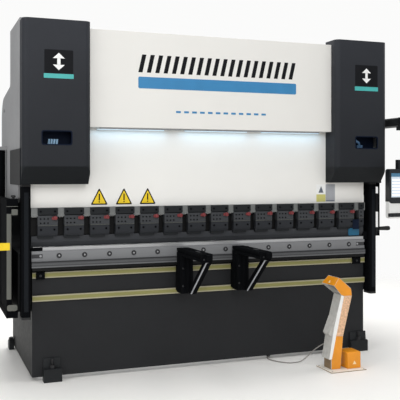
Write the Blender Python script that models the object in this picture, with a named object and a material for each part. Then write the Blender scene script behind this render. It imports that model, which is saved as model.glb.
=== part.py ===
"""CNC press brake with fifteen tool clamps, back gauge, support arms and pedal console.

Metres, +Z up. X runs along the bending line, the operator stands on the -Y side and
the floor is Z = 0. Pieces are drawn with X = 0 at the middle of the bending line and
Y = 0 at the die holder's front face; the empty machine_origin then carries them so
that the middle of the footprint stands on the world origin.
"""
import math

import bmesh
import bpy
from mathutils import Matrix, Vector

# ---- driving dimensions -------------------------------------------------------
GAP = 0.0003                     # clearance kept between touching pieces
CLAMP_COUNT = 15                 # the last one is short and has no lever
CLAMP_PITCH = 0.200
CLAMP_WIDTH = 0.150
CLAMP_ROW_OFFSET = 0.043         # middle of the clamp row, right of the machine's middle
CLAMP_ROW_END = 1.418

FRAME_INNER = 1.400              # side frames: distance of each face from the middle
FRAME_LOWER_OUTER = 1.464
FRAME_OUTER = 1.563
FRAME_FRONT = 0.100
FRAME_REAR = 1.270
FRAME_TOP = 2.750
FRAME_TOP_REAR = 0.607
SHOULDER_Z = 2.300
DOUBLER_BOTTOM = 0.530
THROAT_REAR = 0.550
THROAT_Z = (0.980, 1.385)
FLOOR_GAP = 0.030                # clearance under the bed and the side frames
FRONT_FOOT = (0.100, 0.075)      # height of the block, rise of its bolt above it
REAR_FOOT = (0.075, 0.035)
REAR_FOOT_WIDTH = 0.045

BED_FRONT = 0.055
BED_TOP = 0.885
HOLDER_X = (-1.475, 1.440)
DIE_X = (-1.390, 1.437)
DIE_TOP = 1.021
TOOL_LINE_Y = 0.050              # plane of the punch tip and of the die's groove
TOOL_TIP_Z = 1.0225

RAM_X = (-1.481, 1.446)
RAM_Y = (0.023, 0.093)
RAM_BOTTOM = 1.3226
RAM_LEDGE = 1.750                # the piston rods stand here
RAM_NECK_HALF = 1.100
RAM_TOP = 2.550
NOSE_BOTTOM = 1.245
CLAMP_Z = (1.1075, 1.268, 1.3223)
CLAMP_FRONT = -0.025

CYLINDER_X = 1.250
CYLINDER_Y = 0.058
CYLINDER_Z = (1.970, 2.520)
BARREL_RADIUS = 0.115
ROD_RADIUS = 0.045
PISTON_RADIUS = 0.070

COVER_INNER = 1.057
COVER_FRONT = -0.166
COVER_REAR = 0.018
COVER_TOP = 2.724
COVER_FRONT_BOTTOM = 1.635
COVER_BOTTOM = 1.501
COVER_BOTTOM_Y = -0.066
COVER_CORNER = 0.045
SHEET = 0.004

PANEL_FRONT = -0.079
PANEL_Z = (1.938, 2.687)

RAIL_Y = (0.035, 0.0547)
RAIL_HEIGHT = 0.045
RAIL_TOPS = {"upper_support_rail": 0.831, "lower_support_rail": 0.654}

ARM_WIDTH = 0.100
ARM_FRONT = -0.610
ARM_LEFT_EDGE = {"left_support_arm": -0.329, "right_support_arm": 0.155}
ARM_BEAM_Z = (0.930, 0.985)
ARM_FOOT_Z = 0.631

CURTAIN_X = 1.517
CURTAIN_HALF = 0.0345            # half the width of a light curtain
CURTAIN_FOOT = {-1: 0.487, 1: 0.512}        # lower end on the left and on the right
CURTAIN_TOP = 1.4997
GUARD_OUTER = 1.655
POST_RADIUS = 0.048
GUARD_HINGE = (-1.620, 0.900)
RIGHT_GUARD_HINGE = (1.609, 0.660)
LEFT_POST_Z = (0.480, 1.780)
RIGHT_POST_Z = (0.995, 1.520)
LEFT_DOOR_Z = (0.498, 1.391)
RIGHT_DOOR_Z = (1.020, 1.495)
LIFTING_HOLE = (1.480, 1.070, 2.130)

SWING_ARM_PIVOT = (1.700, 0.250)
PENDANT_AXIS = (1.700, -0.250)
PANEL_WIDTH = 0.390
ESTOP_X = 1.855
ESTOP_Z = 1.255

PEDAL_FRONT = -0.468
PEDAL_REAR = -0.353
HEAD_REAR = (-0.262, -0.302)                # of the head's end: lower corner, upper corner
PEDAL_PLATE = ((0.785, 1.105), (-0.545, -0.300), (0.0, 0.008))
HOOD_X = (0.961, 1.083)
HOOD_Y = (-0.495, -0.365)
CORD_DIAMETER = 0.009
CORD_EXIT = (0.868, -0.3347, 0.185)

LEFT_EXTENT = GUARD_HINGE[0] - POST_RADIUS
RIGHT_EXTENT = PENDANT_AXIS[0] + PANEL_WIDTH / 2
CENTRE_X = (LEFT_EXTENT + RIGHT_EXTENT) / 2
CENTRE_Y = (ARM_FRONT + FRAME_REAR) / 2

# colour, roughness, metallic
PAINTS = {
    "frame_grey": ((0.30, 0.30, 0.30), 0.50, 0.0),
    "dark_grey": ((0.030, 0.031, 0.034), 0.50, 0.0),
    "cover_grey": ((0.045, 0.046, 0.052), 0.50, 0.0),
    "warm_white": ((0.82, 0.80, 0.76), 0.45, 0.0),
    "black": ((0.010, 0.010, 0.011), 0.40, 0.0),
    "bright_steel": ((0.45, 0.45, 0.46), 0.35, 0.9),
    "tool_steel": ((0.050, 0.052, 0.058), 0.40, 0.7),
    "rail_olive": ((0.40, 0.37, 0.12), 0.45, 0.2),
    "red": ((0.50, 0.05, 0.04), 0.40, 0.0),
    "orange": ((0.75, 0.26, 0.02), 0.40, 0.0),
    "light_grey": ((0.55, 0.54, 0.53), 0.50, 0.0),
    "screen_white": ((0.70, 0.70, 0.70), 0.45, 0.0),
    "cord_grey": ((0.30, 0.29, 0.28), 0.60, 0.0),
    "lamp": ((0.75, 0.85, 0.95), 0.20, 0.0),
}


# ---- helpers ------------------------------------------------------------------
def clear_scene():
    """Take away whatever the new file starts with."""
    for old in list(bpy.data.objects):
        bpy.data.objects.remove(old, do_unlink=True)


def new_collection(name):
    group = bpy.data.collections.new(name)
    bpy.context.scene.collection.children.link(group)
    return group


def mesh_object(build):
    """Make an object from a function that fills a bmesh."""
    bm = bmesh.new()
    build(bm)
    mesh = bpy.data.meshes.new("solid")
    bm.to_mesh(mesh)
    bm.free()
    made = bpy.data.objects.new("solid", mesh)
    PARTS.objects.link(made)
    return made


def box(x, y, z):
    """Box between the two limits given for each axis, in either order."""
    size = [abs(pair[1] - pair[0]) for pair in (x, y, z)]
    centre = [(pair[0] + pair[1]) / 2 for pair in (x, y, z)]

    def build(bm):
        bmesh.ops.create_cube(bm, size=1.0)
        bmesh.ops.scale(bm, verts=bm.verts, vec=size)
        bmesh.ops.translate(bm, verts=bm.verts, vec=centre)
    return mesh_object(build)


def rod(centre, radius, length, axis="Z", segments=24, tip_radius=None):
    """Cylinder, or cone when tip_radius is given, centred on a point."""
    turn = {"X": Matrix.Rotation(math.pi / 2, 3, "Y"), "Z": Matrix.Identity(3),
            "Y": Matrix.Rotation(math.pi / 2, 3, "X")}[axis]

    def build(bm):
        bmesh.ops.create_cone(bm, cap_ends=True, segments=segments, radius1=radius,
                              radius2=radius if tip_radius is None else tip_radius, depth=length)
        bmesh.ops.rotate(bm, verts=bm.verts, matrix=turn)
        bmesh.ops.translate(bm, verts=bm.verts, vec=centre)
    return mesh_object(build)


def hull(points):
    """Convex solid round the points."""
    def build(bm):
        for point in points:
            bm.verts.new(point)
        bmesh.ops.convex_hull(bm, input=bm.verts[:])
    return mesh_object(build)


def curve_to_mesh(curve):
    """Turn a curve into a mesh object with its caps welded on."""
    view = bpy.context.evaluated_depsgraph_get()
    mesh = bpy.data.meshes.new_from_object(curve.evaluated_get(view))
    bm = bmesh.new()
    bm.from_mesh(mesh)
    bmesh.ops.remove_doubles(bm, verts=bm.verts, dist=0.00001)
    bmesh.ops.recalc_face_normals(bm, faces=bm.faces)
    bm.to_mesh(mesh)
    bm.free()
    made = bpy.data.objects.new("solid", mesh)
    made.matrix_world = curve.matrix_world
    PARTS.objects.link(made)
    bpy.data.objects.remove(curve, do_unlink=True)
    return made


def plate(outline, limits, plane="YZ"):
    """Flat outline drawn in a plane and extruded between two limits across it."""
    flat = bpy.data.curves.new("outline", "CURVE")
    flat.dimensions = "2D"
    flat.fill_mode = "BOTH"
    flat.extrude = abs(limits[1] - limits[0]) / 2
    spline = flat.splines.new("POLY")
    spline.points.add(len(outline) - 1)
    for point, (u, v) in zip(spline.points, outline):
        point.co = (u, v, 0.0, 1.0)
    spline.use_cyclic_u = True
    shape = bpy.data.objects.new("outline", flat)
    PARTS.objects.link(shape)
    bpy.context.view_layer.update()
    solid = curve_to_mesh(shape)
    middle = (limits[0] + limits[1]) / 2
    turns = {"YZ": Matrix(((0, 0, 1, middle), (1, 0, 0, 0), (0, 1, 0, 0), (0, 0, 0, 1))),
             "XZ": Matrix(((1, 0, 0, 0), (0, 0, -1, middle), (0, 1, 0, 0), (0, 0, 0, 1))),
             "XY": Matrix(((1, 0, 0, 0), (0, 1, 0, 0), (0, 0, 1, middle), (0, 0, 0, 1)))}
    solid.data.transform(turns[plane])
    return solid


def round_corners(points, steps=8):
    """Points are (u, v) or (u, v, radius): each corner with a radius becomes an arc."""
    result = []
    count = len(points)
    for i, point in enumerate(points):
        corner = Vector(point[:2])
        if len(point) < 3:
            result.append(tuple(corner))
            continue
        before = (Vector(points[i - 1][:2]) - corner).normalized()
        after = (Vector(points[(i + 1) % count][:2]) - corner).normalized()
        half = before.angle(after) / 2
        reach = point[2] / math.tan(half)
        centre = corner + (before + after).normalized() * point[2] / math.sin(half)
        start = corner + before * reach - centre
        finish = corner + after * reach - centre
        sweep = math.atan2(start.x * finish.y - start.y * finish.x, start.dot(finish))
        for k in range(steps + 1):
            turned = Matrix.Rotation(sweep * k / steps, 2) @ start
            result.append(tuple(centre + turned))
    return result


def combine(base, other, operation):
    """Boolean of two objects, applied to the first; the second is used up."""
    change = base.modifiers.new("combine", "BOOLEAN")
    change.operation = operation
    change.solver = "EXACT"
    change.object = other
    view = bpy.context.evaluated_depsgraph_get()
    mesh = bpy.data.meshes.new_from_object(base.evaluated_get(view))
    base.modifiers.clear()
    base.data = mesh
    bpy.data.objects.remove(other, do_unlink=True)
    return base


def fuse(base, *others):
    for other in others:
        combine(base, other, "UNION")
    return base


def cut(base, *cutters):
    for cutter in cutters:
        combine(base, cutter, "DIFFERENCE")
    return base


def paint(name):
    """Material for one of the paints, made the first time that it is asked for."""
    if name in bpy.data.materials:
        return bpy.data.materials[name]
    colour, roughness, metallic = PAINTS[name]
    material = bpy.data.materials.new(name)
    material.use_nodes = True
    shader = material.node_tree.nodes["Principled BSDF"]
    shader.inputs["Base Color"].default_value = (*colour, 1.0)
    shader.inputs["Roughness"].default_value = roughness
    shader.inputs["Metallic"].default_value = metallic
    return material


def finish(solid, name, paint_name, pivot=None):
    """Name a finished solid, paint it, put its origin on its pivot and parent it."""
    solid.name = name
    solid.data.name = name
    solid.data.materials.clear()
    own = paint(paint_name).copy()
    own.name = name + "_paint"
    solid.data.materials.append(own)
    if pivot is not None:
        solid.data.transform(Matrix.Translation(-Vector(pivot)))
        solid.location = pivot
    solid.parent = ORIGIN
    return solid


def sided(side, near, far):
    """X limits on the left (-1) or the right (+1) side."""
    return (side * near, side * far)


# ---- frame and structure ------------------------------------------------------
def side_outline(bottom):
    """Side plate in Y and Z, with its throat in front and its shoulder behind."""
    low, high = THROAT_Z
    return round_corners([
        (FRAME_FRONT, bottom), (FRAME_FRONT, low, 0.020), (THROAT_REAR, low, 0.120),
        (THROAT_REAR, high, 0.120), (FRAME_FRONT, high, 0.020), (FRAME_FRONT, FRAME_TOP),
        (FRAME_TOP_REAR, FRAME_TOP), (FRAME_TOP_REAR, SHOULDER_Z, 0.040),
        (FRAME_REAR, SHOULDER_Z - 0.070, 0.200), (FRAME_REAR, bottom)])


def hinge_lugs(side, hinge, outer, heights, thickness):
    """Two lugs on a side frame that hold a guard's hinge post between them."""
    inner = FRAME_LOWER_OUTER - 0.010
    y = (hinge[1] - 0.040, hinge[1] + 0.040)
    low, high = heights
    return [box(sided(side, inner, outer), y, (low - GAP - thickness, low - GAP)),
            box(sided(side, inner, outer), y, (high + GAP, high + GAP + thickness))]


def swing_arm_bracket():
    px, py = SWING_ARM_PIVOT
    return box((FRAME_OUTER - 0.010, px + 0.050), (py - 0.055, py + 0.055), (1.900, 1.9547))


def side_frame(name, side, *attached):
    x, y, z = LIFTING_HOLE
    lifting_hole = rod((side * x, y, z), 0.022, 0.30, "X")
    plate_inner = plate(side_outline(FLOOR_GAP), sided(side, FRAME_INNER, FRAME_LOWER_OUTER))
    plate_outer = plate(side_outline(DOUBLER_BOTTOM),
                        sided(side, FRAME_LOWER_OUTER - 0.004, FRAME_OUTER))
    cheek = box(sided(side, 1.485, FRAME_OUTER), (-0.010, 0.120), (1.500, FRAME_TOP))
    guide = box(sided(side, 1.410, 1.450), (RAM_Y[1] + 0.0005, 0.110), (1.560, 2.300))
    frame = fuse(plate_inner, plate_outer, cheek, guide, *attached)
    return finish(cut(frame, lifting_hole), name, "frame_grey")


def front_bed():
    face = box((-FRAME_LOWER_OUTER, FRAME_LOWER_OUTER), (BED_FRONT, FRAME_FRONT - GAP),
               (FLOOR_GAP, BED_TOP))
    core = box((-FRAME_INNER + GAP, FRAME_INNER - GAP), (0.090, 0.160), (FLOOR_GAP, BED_TOP))
    ribs = [box((-1.30, 1.30), (0.150, 0.230), (z, z + 0.030)) for z in (0.180, 0.480)]
    gland = box((0.545, 0.577), (0.130, 0.158), (0.003, 0.050))
    return finish(fuse(face, core, *ribs, gland), "front_bed", "dark_grey")


def rear_tie_beam():
    half = FRAME_INNER - GAP
    beam = box((-half, half), (0.520, 0.600), (1.560, 1.840))
    shelf = box((-half, half), (0.590, 1.200), (1.560, 1.600))
    skirt = box((-half, half), (1.185, 1.200), (1.460, 1.570))
    return finish(fuse(beam, shelf, skirt), "rear_tie_beam", "frame_grey")


def foot(name, x, y, face_y, height, rise):
    """Levelling foot: block, bracket towards the machine and bolt that rises above the block."""
    block = box(x, y, (0.0, height))
    middle = (x[0] + x[1]) / 2
    bolt = rod((middle, sum(y) / 2, height + (rise - 0.035) / 2), 0.012, rise + 0.035, segments=12)
    nut = rod((middle, sum(y) / 2, height + 0.010), 0.021, 0.030, segments=6)
    bracket = box(x, face_y, (height - 0.010, height + rise - 0.003))
    return finish(fuse(block, nut, bolt, bracket), name, "black")


def feet():
    front_y = (-0.018, BED_FRONT - GAP)
    bracket_y = (0.030, BED_FRONT - GAP)
    foot("foot_front_left", (-1.385, -1.247), front_y, bracket_y, *FRONT_FOOT)
    foot("foot_front_right", (1.312, 1.484), (0.010, BED_FRONT - GAP), (0.035, BED_FRONT - GAP), *FRONT_FOOT)
    outer = FRAME_LOWER_OUTER + GAP
    for name, side in (("foot_rear_left", -1), ("foot_rear_right", 1)):
        foot(name, sided(side, outer, outer + REAR_FOOT_WIDTH), (1.160, 1.262), (1.190, 1.212), *REAR_FOOT)


# ---- covers -------------------------------------------------------------------
def cover_block(side, inset):
    """Solid outer shape of a cylinder cover, shrunk by inset for its inside."""
    front = COVER_FRONT + inset
    rear = COVER_REAR + inset
    slope = inset * 0.45
    profile = [(front, COVER_FRONT_BOTTOM + slope), (COVER_BOTTOM_Y + slope, COVER_BOTTOM + inset),
               (rear, COVER_BOTTOM + inset), (rear, COVER_TOP - inset), (front, COVER_TOP - inset)]
    near, far = COVER_INNER + inset, FRAME_OUTER - inset
    corner = COVER_CORNER - inset
    left, right = sorted(sided(side, near, far))
    plan = round_corners([(left, front, corner), (right, front, corner), (right, rear), (left, rear)])
    block = plate(profile, (left, right))
    return combine(block, plate(plan, (1.40, 2.80), "XY"), "INTERSECT")


def cylinder_cover(name, side, window_x):
    shell = cut(cover_block(side, 0.0), cover_block(side, SHEET))
    window = box(window_x, (COVER_FRONT - 0.02, COVER_FRONT + 0.03), (1.796, 1.898))
    corner = box(sided(side, 1.482, 1.600), (-0.010 - GAP, 0.100), (1.450, 2.800))
    cut(shell, window, corner)
    flange = box(sided(side, FRAME_OUTER + GAP, 1.569), (-0.070, 0.565), (1.495, 1.769))
    tab = box(sided(side, 1.560, 1.569), (-0.070, -0.020), (1.530, 1.769))
    return finish(fuse(shell, tab, flange), name, "cover_grey")


def front_panel():
    half = COVER_INNER - GAP
    low, high = PANEL_Z
    outer = box((-half, half), (PANEL_FRONT, 0.010), (low, high))
    inner = box((-half + SHEET, half - SHEET), (PANEL_FRONT + SHEET, 0.050), (low + SHEET, high - SHEET))
    return finish(cut(outer, inner), "front_panel", "warm_white")


def work_light():
    top = PANEL_Z[0] - GAP
    bar = box((-0.960, 0.960), (-0.045, -0.005), (top - 0.012, top))
    lenses = [box((x - 0.270, x + 0.270), (-0.039, -0.011), (top - 0.020, top - 0.006))
              for x in (-0.640, 0.0, 0.640)]
    return finish(fuse(bar, *lenses), "work_light", "lamp")


# ---- hydraulics ---------------------------------------------------------------
def cylinder(name, side):
    low, high = CYLINDER_Z
    x = side * CYLINDER_X
    barrel = rod((x, CYLINDER_Y, (low + high) / 2), BARREL_RADIUS, high - low, segments=32)
    flange = box(sided(side, 1.200, FRAME_INNER - GAP), (-0.040, 0.180), (2.180, 2.300))
    block = box((x - 0.070, x + 0.070), (-0.030, 0.110), (high - 0.010, high + 0.110))
    fuse(barrel, flange, block)
    chamber = rod((x, CYLINDER_Y, 2.210), PISTON_RADIUS + 0.0005, 0.360, segments=32)
    gland = rod((x, CYLINDER_Y, low), ROD_RADIUS + 0.0005, 0.200, segments=32)
    return finish(cut(barrel, chamber, gland), name, "dark_grey")


def piston_rod(name, side):
    x = side * CYLINDER_X
    bottom = RAM_LEDGE + GAP
    shaft = rod((x, CYLINDER_Y, (bottom + 2.120) / 2), ROD_RADIUS, 2.120 - bottom, segments=24)
    piston = rod((x, CYLINDER_Y, 2.115), PISTON_RADIUS, 0.050, segments=24)
    foot_ring = rod((x, CYLINDER_Y, bottom + 0.015), 0.030 + ROD_RADIUS / 2, 0.030, segments=24)
    return finish(fuse(shaft, piston, foot_ring), name, "bright_steel", (x, CYLINDER_Y, bottom))


def hydraulic_tank():
    shelf = 1.600 + GAP
    tank = box((-0.560, 0.500), (0.650, 1.150), (shelf, 1.960))
    lid = box((-0.580, 0.520), (0.630, 1.170), (1.950, 1.966))
    cap = rod((0.380, 0.780, 1.985), 0.040, 0.060, segments=20)
    filter_head = rod((0.180, 0.780, 1.995), 0.050, 0.080, segments=20)
    return finish(fuse(tank, lid, cap, filter_head), "hydraulic_tank", "dark_grey")


def pump_motor():
    shelf = 1.600 + GAP
    motor = rod((0.790, 0.900, 1.750), 0.110, 0.320, "X", 28)
    fan_cowl = rod((0.980, 0.900, 1.750), 0.118, 0.080, "X", 28)
    pump = rod((0.600, 0.900, 1.750), 0.055, 0.110, "X", 20)
    base = box((0.660, 0.920), (0.800, 1.000), (shelf, 1.670))
    terminal_box = box((0.720, 0.840), (0.845, 0.955), (1.840, 1.900))
    return finish(fuse(motor, fan_cowl, pump, base, terminal_box), "pump_motor", "light_grey")


# ---- ram and tooling ----------------------------------------------------------
def ram():
    outline = round_corners([
        (RAM_X[0], RAM_BOTTOM), (RAM_X[1], RAM_BOTTOM), (RAM_X[1], RAM_LEDGE),
        (RAM_NECK_HALF, RAM_LEDGE, 0.020), (RAM_NECK_HALF, RAM_TOP), (-RAM_NECK_HALF, RAM_TOP),
        (-RAM_NECK_HALF, RAM_LEDGE, 0.020), (RAM_X[0], RAM_LEDGE)])
    body = plate(outline, RAM_Y, "XZ")
    nose = box((-1.470, CLAMP_ROW_END), (0.040, 0.085), (NOSE_BOTTOM + GAP, RAM_BOTTOM + 0.010))
    return finish(fuse(body, nose), "ram", "warm_white", (0.0, sum(RAM_Y) / 2, RAM_BOTTOM))


def clamp_left_edge(index):
    """Left edge of clamp 1 to CLAMP_COUNT."""
    return CLAMP_ROW_OFFSET + (index - 8) * CLAMP_PITCH - CLAMP_WIDTH / 2


def clamp_row():
    """Backing bar with one clamp body after another and a slot for the tool's tang."""
    low, step, high = CLAMP_Z
    bar = box((-1.470, CLAMP_ROW_END - 0.002), (0.0303, 0.085), (1.120, NOSE_BOTTOM))
    for index in range(1, CLAMP_COUNT + 1):
        left = clamp_left_edge(index)
        right = min(left + CLAMP_WIDTH, CLAMP_ROW_END)
        jaw = box((left, right), (CLAMP_FRONT, 0.036), (low, step - 0.004))
        head = box((left, right), (CLAMP_FRONT - 0.006, 0.0397), (step, high))
        neck = box((left + 0.004, right - 0.004), (CLAMP_FRONT + 0.008, 0.034), (step - 0.010, step + 0.010))
        fuse(bar, jaw, neck, head)
    slot = box((-1.600, 1.600), (0.0415, 0.0565), (1.050, 1.165))
    return finish(cut(bar, slot), "clamp_row", "black", (0.0, CLAMP_FRONT, NOSE_BOTTOM))


def clamp_lever(index):
    """Small red quick-release lever that turns on a hub at its right end."""
    hub_x = clamp_left_edge(index) + 0.130
    hub_z = 1.246
    face = CLAMP_FRONT - GAP
    hub = rod((hub_x, face - 0.009, hub_z), 0.013, 0.018, "Y", 16)
    handle = box((hub_x - 0.034, hub_x + 0.002), (face - 0.020, face - 0.006), (hub_z - 0.009, hub_z + 0.009))
    return finish(fuse(hub, handle), f"clamp_lever_{index:02d}", "red", (hub_x, face, hub_z))


def upper_tool():
    tip = TOOL_LINE_Y
    section = [(0.042, 1.160), (0.042, 1.107), (0.020, 1.107), (0.020, 1.062),
               (tip - 0.002, TOOL_TIP_Z), (tip + 0.002, TOOL_TIP_Z), (0.080, 1.078),
               (0.080, 1.107), (0.056, 1.107), (0.056, 1.160)]
    return finish(plate(section, HOLDER_X), "upper_tool", "tool_steel", (0.0, tip, TOOL_TIP_Z))


def lower_die():
    low = BED_TOP + 0.110 + GAP
    groove = 0.009
    section = [(0.015, low), (0.085, low), (0.085, DIE_TOP), (TOOL_LINE_Y + groove, DIE_TOP),
               (TOOL_LINE_Y, DIE_TOP - groove), (TOOL_LINE_Y - groove, DIE_TOP), (0.015, DIE_TOP)]
    return finish(plate(section, DIE_X), "lower_die", "bright_steel")


def die_holder():
    body = box(HOLDER_X, (0.0, FRAME_FRONT - GAP), (BED_TOP + GAP, BED_TOP + 0.110))
    ledge = box(HOLDER_X, (-0.014, BED_FRONT - GAP), (0.870, 0.912))
    fuse(body, ledge)
    left_slot = box((-1.500, -1.393), (-0.020, 0.012), (0.942, 0.972))
    right_slot = box((1.356, 1.500), (-0.020, 0.012), (0.942, 0.972))
    return finish(cut(body, left_slot, right_slot), "die_holder", "bright_steel")


# ---- front support arms -------------------------------------------------------
def support_rail(name):
    top = RAIL_TOPS[name]
    rail = box((-FRAME_LOWER_OUTER, FRAME_LOWER_OUTER), RAIL_Y, (top - RAIL_HEIGHT, top))
    if name == "upper_support_rail":
        for x in ((-1.437, -1.373), (1.333, 1.410)):
            fuse(rail, box(x, (0.018, 0.050), (top - 0.050, top + 0.004)))
    return finish(rail, name, "rail_olive")


def support_arm(name):
    """Sheet support: beam, upright with rail shoe, diagonal brace and end stop."""
    left = ARM_LEFT_EDGE[name]
    x = (left, left + ARM_WIDTH)
    low, high = ARM_BEAM_Z
    beam = box(x, (ARM_FRONT + 0.012, -0.020), (low, high))
    upright = box(x, (-0.130, -0.020), (ARM_FOOT_Z, low + 0.010))
    shoe = box((x[0] + 0.010, x[1] - 0.010), (-0.030, RAIL_Y[0] - GAP), (ARM_FOOT_Z + 0.004, 0.845))
    brace = plate([(-0.458, low + 0.010), (-0.520, low + 0.010), (-0.165, ARM_FOOT_Z),
                   (-0.120, ARM_FOOT_Z), (-0.120, ARM_FOOT_Z + 0.035)], (x[0] + 0.067, x[1] + 0.014))
    end_stop = box((x[0] + 0.015, x[1] + 0.010), (ARM_FRONT, ARM_FRONT + 0.050), (low + 0.004, high + 0.006))
    arm = fuse(beam, upright, shoe, brace, end_stop)
    slot = box((x[0] + 0.042, x[0] + 0.058), (ARM_FRONT + 0.060, 0.0), (high - 0.012, high + 0.020))
    pivot = (sum(x) / 2, RAIL_Y[0], RAIL_TOPS["upper_support_rail"])
    return finish(cut(arm, slot), name, "black", pivot)


# ---- guards and light curtains ------------------------------------------------
def light_curtain(name, side):
    """Upright with a rounded front, held off the side frame by two brackets."""
    x = side * CURTAIN_X
    left, right = x - CURTAIN_HALF, x + CURTAIN_HALF
    plan = round_corners([(left, -0.024, 0.016), (right, -0.024, 0.016), (right, 0.080), (left, 0.080)], 3)
    post = plate(plan, (CURTAIN_FOOT[side], CURTAIN_TOP), "XY")
    brackets = [box((x - 0.030, x + 0.030), (0.075, FRAME_FRONT - GAP), (z, z + 0.060))
                for z in (0.560, 0.880)]
    return finish(fuse(post, *brackets), name, "black")


def left_side_guard():
    """Hinged side door: rear post, glazed panel and a stand-off stile in front."""
    hinge_x, hinge_y = GUARD_HINGE
    outer, inner = -GUARD_OUTER, -GUARD_OUTER + 0.040
    low, high = LEFT_DOOR_Z
    post = rod((hinge_x, hinge_y, sum(LEFT_POST_Z) / 2), POST_RADIUS, LEFT_POST_Z[1] - LEFT_POST_Z[0],
               segments=20)
    top = box((outer, inner), (0.030, hinge_y), (high - 0.047, high))
    bottom = box((outer, inner), (0.030, hinge_y), (low, low + 0.051))
    stile = box((outer, inner), (0.030, 0.070), (low + 0.010, high - 0.010))
    middle = box((outer, inner), (0.480, 0.520), (low + 0.010, high - 0.010))
    pane = box((outer + 0.003, inner - 0.003), (0.060, hinge_y), (low + 0.030, high - 0.030))
    returns = [box((inner - 0.010, -1.570), (0.030, 0.080), z)
               for z in ((low, low + 0.051), (high - 0.047, high))]
    door = fuse(top, post, bottom, stile, middle, pane, *returns)
    return finish(door, "left_side_guard", "black", (hinge_x, hinge_y, low))


def right_side_guard():
    hinge_x, hinge_y = RIGHT_GUARD_HINGE
    inner, outer = 1.598, 1.620
    low, high = RIGHT_DOOR_Z
    hinge = rod((hinge_x, hinge_y, sum(RIGHT_POST_Z) / 2), 0.018, RIGHT_POST_Z[1] - RIGHT_POST_Z[0],
                segments=16)
    top = box((inner, outer), (0.030, hinge_y), (high - 0.035, high))
    bottom = box((inner, outer), (0.030, hinge_y), (low, low + 0.035))
    stile = box((inner, outer), (0.030, 0.060), (low + 0.010, high - 0.010))
    pane = box((inner + 0.003, outer - 0.003), (0.050, hinge_y), (low + 0.020, high - 0.020))
    latch = box((1.5700, outer), (0.035, 0.085), (1.235, 1.400))
    catch = box((1.5700, outer), (0.035, 0.075), (1.020, 1.095))
    handle = rod((1.665, 0.030, 1.085), 0.013, 0.110, "X", 12, 0.017)
    door = fuse(top, hinge, bottom, stile, pane, latch, catch, handle)
    return finish(door, "right_side_guard", "black", (hinge_x, hinge_y, low))


# ---- control ------------------------------------------------------------------
def control_arm():
    """Swing arm: wall bracket, beam towards the operator and the pendant's column."""
    px, py = SWING_ARM_PIVOT
    fx, fy = PENDANT_AXIS
    bearing = rod((px, py, 2.030), 0.060, 0.150, segments=24)
    beam = box((px - 0.075, px + 0.075), (fy - 0.030, py), (1.992, 2.067))
    elbow = box((fx - 0.070, fx + 0.070), (fy - 0.030, fy + 0.040), (1.960, 2.000))
    column = rod((fx, fy, 1.840), 0.032, 0.280, segments=20)
    return finish(fuse(beam, bearing, elbow, column), "control_arm", "black", (px, py, 2.030))


def control_panel():
    fx, fy = PENDANT_AXIS
    left, right = fx - PANEL_WIDTH / 2, fx + PANEL_WIDTH / 2
    body = box((left, right), (fy - 0.035, fy + 0.025), (1.193, 1.619))
    neck = box((fx - 0.095, fx + 0.095), (fy - 0.030, fy + 0.030), (1.610, 1.6997 - GAP))
    shelf = box((left + 0.020, right - 0.020), (fy - 0.047, fy - 0.030), (1.200, 1.212))
    screen = box((left + 0.034, right - 0.034), (fy - 0.050, fy - 0.034), (1.373, 1.584))
    bezel = box((left + 0.001, right - 0.001), (fy - 0.040, fy - 0.020), (1.323, 1.6175))
    panel = fuse(body, neck, shelf, bezel)
    cut(panel, screen)
    button_bore = rod((ESTOP_X, fy - 0.035, ESTOP_Z), 0.0085, 0.050, "Y", 16)
    return finish(cut(panel, button_bore), "control_panel", "screen_white", (fx, fy, 1.650))


def control_estop():
    fy = PENDANT_AXIS[1] - 0.035
    cap = rod((ESTOP_X, fy - 0.016, ESTOP_Z), 0.018, 0.018, "Y", 20, 0.016)
    stem = rod((ESTOP_X, fy - 0.001, ESTOP_Z), 0.0080, 0.024, "Y", 16)
    return finish(fuse(cap, stem), "control_estop", "red", (ESTOP_X, fy, ESTOP_Z))


# ---- cabinet and back gauge ---------------------------------------------------
def electrical_cabinet():
    near = FRAME_OUTER + GAP
    case = box((near, 1.820), (0.720, 1.250), (0.620, 1.480))
    door = box((near + 0.010, 1.830), (0.728, 1.242), (0.628, 1.472))
    vent = box((near + 0.060, 1.780), (0.740, 1.230), (1.470, 1.500))
    return finish(fuse(case, door, vent), "electrical_cabinet", "light_grey")


def gauge_guide_frame():
    rails = [box(sided(side, 1.100, 1.180), (0.1603, 0.980), (0.800, 0.880)) for side in (-1, 1)]
    half = FRAME_INNER - GAP
    crossbar = box((-half, half), (0.940, 1.000), (0.780, 0.870))
    return finish(fuse(crossbar, *rails), "gauge_guide_frame", "dark_grey")


def gauge_carriage():
    shoes = [box(sided(side, 1.080, 1.200), (0.500, 0.640), (0.880 + GAP, 0.930)) for side in (-1, 1)]
    crossbar = box((-1.190, 1.190), (0.575, 0.635), (0.900, 0.960))
    columns = [box(sided(side, 1.100, 1.180), (0.560, 0.620), (0.920, 1.240)) for side in (-1, 1)]
    return finish(fuse(crossbar, *shoes, *columns), "gauge_carriage", "light_grey", (0.0, 0.570, 0.880))


def gauge_beam():
    beam = box((-1.230, 1.230), (0.480, 0.5397), (0.985, 1.045))
    sliders = [box(sided(side, 1.105, 1.175), (0.530, 0.560 - GAP), (0.980, 1.070)) for side in (-1, 1)]
    return finish(fuse(beam, *sliders), "gauge_beam", "bright_steel", (0.0, 0.510, 0.985))


def gauge_finger(name, x):
    block = box((x - 0.045, x + 0.045), (0.460, 0.535), (1.045 + GAP, 1.085))
    arm = box((x - 0.030, x + 0.030), (0.260, 0.480), (1.050, 1.078))
    stop = box((x - 0.025, x + 0.025), (0.230, 0.275), (1.026, 1.074))
    return finish(fuse(block, arm, stop), name, "light_grey", (x, 0.500, 1.045))


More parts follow.
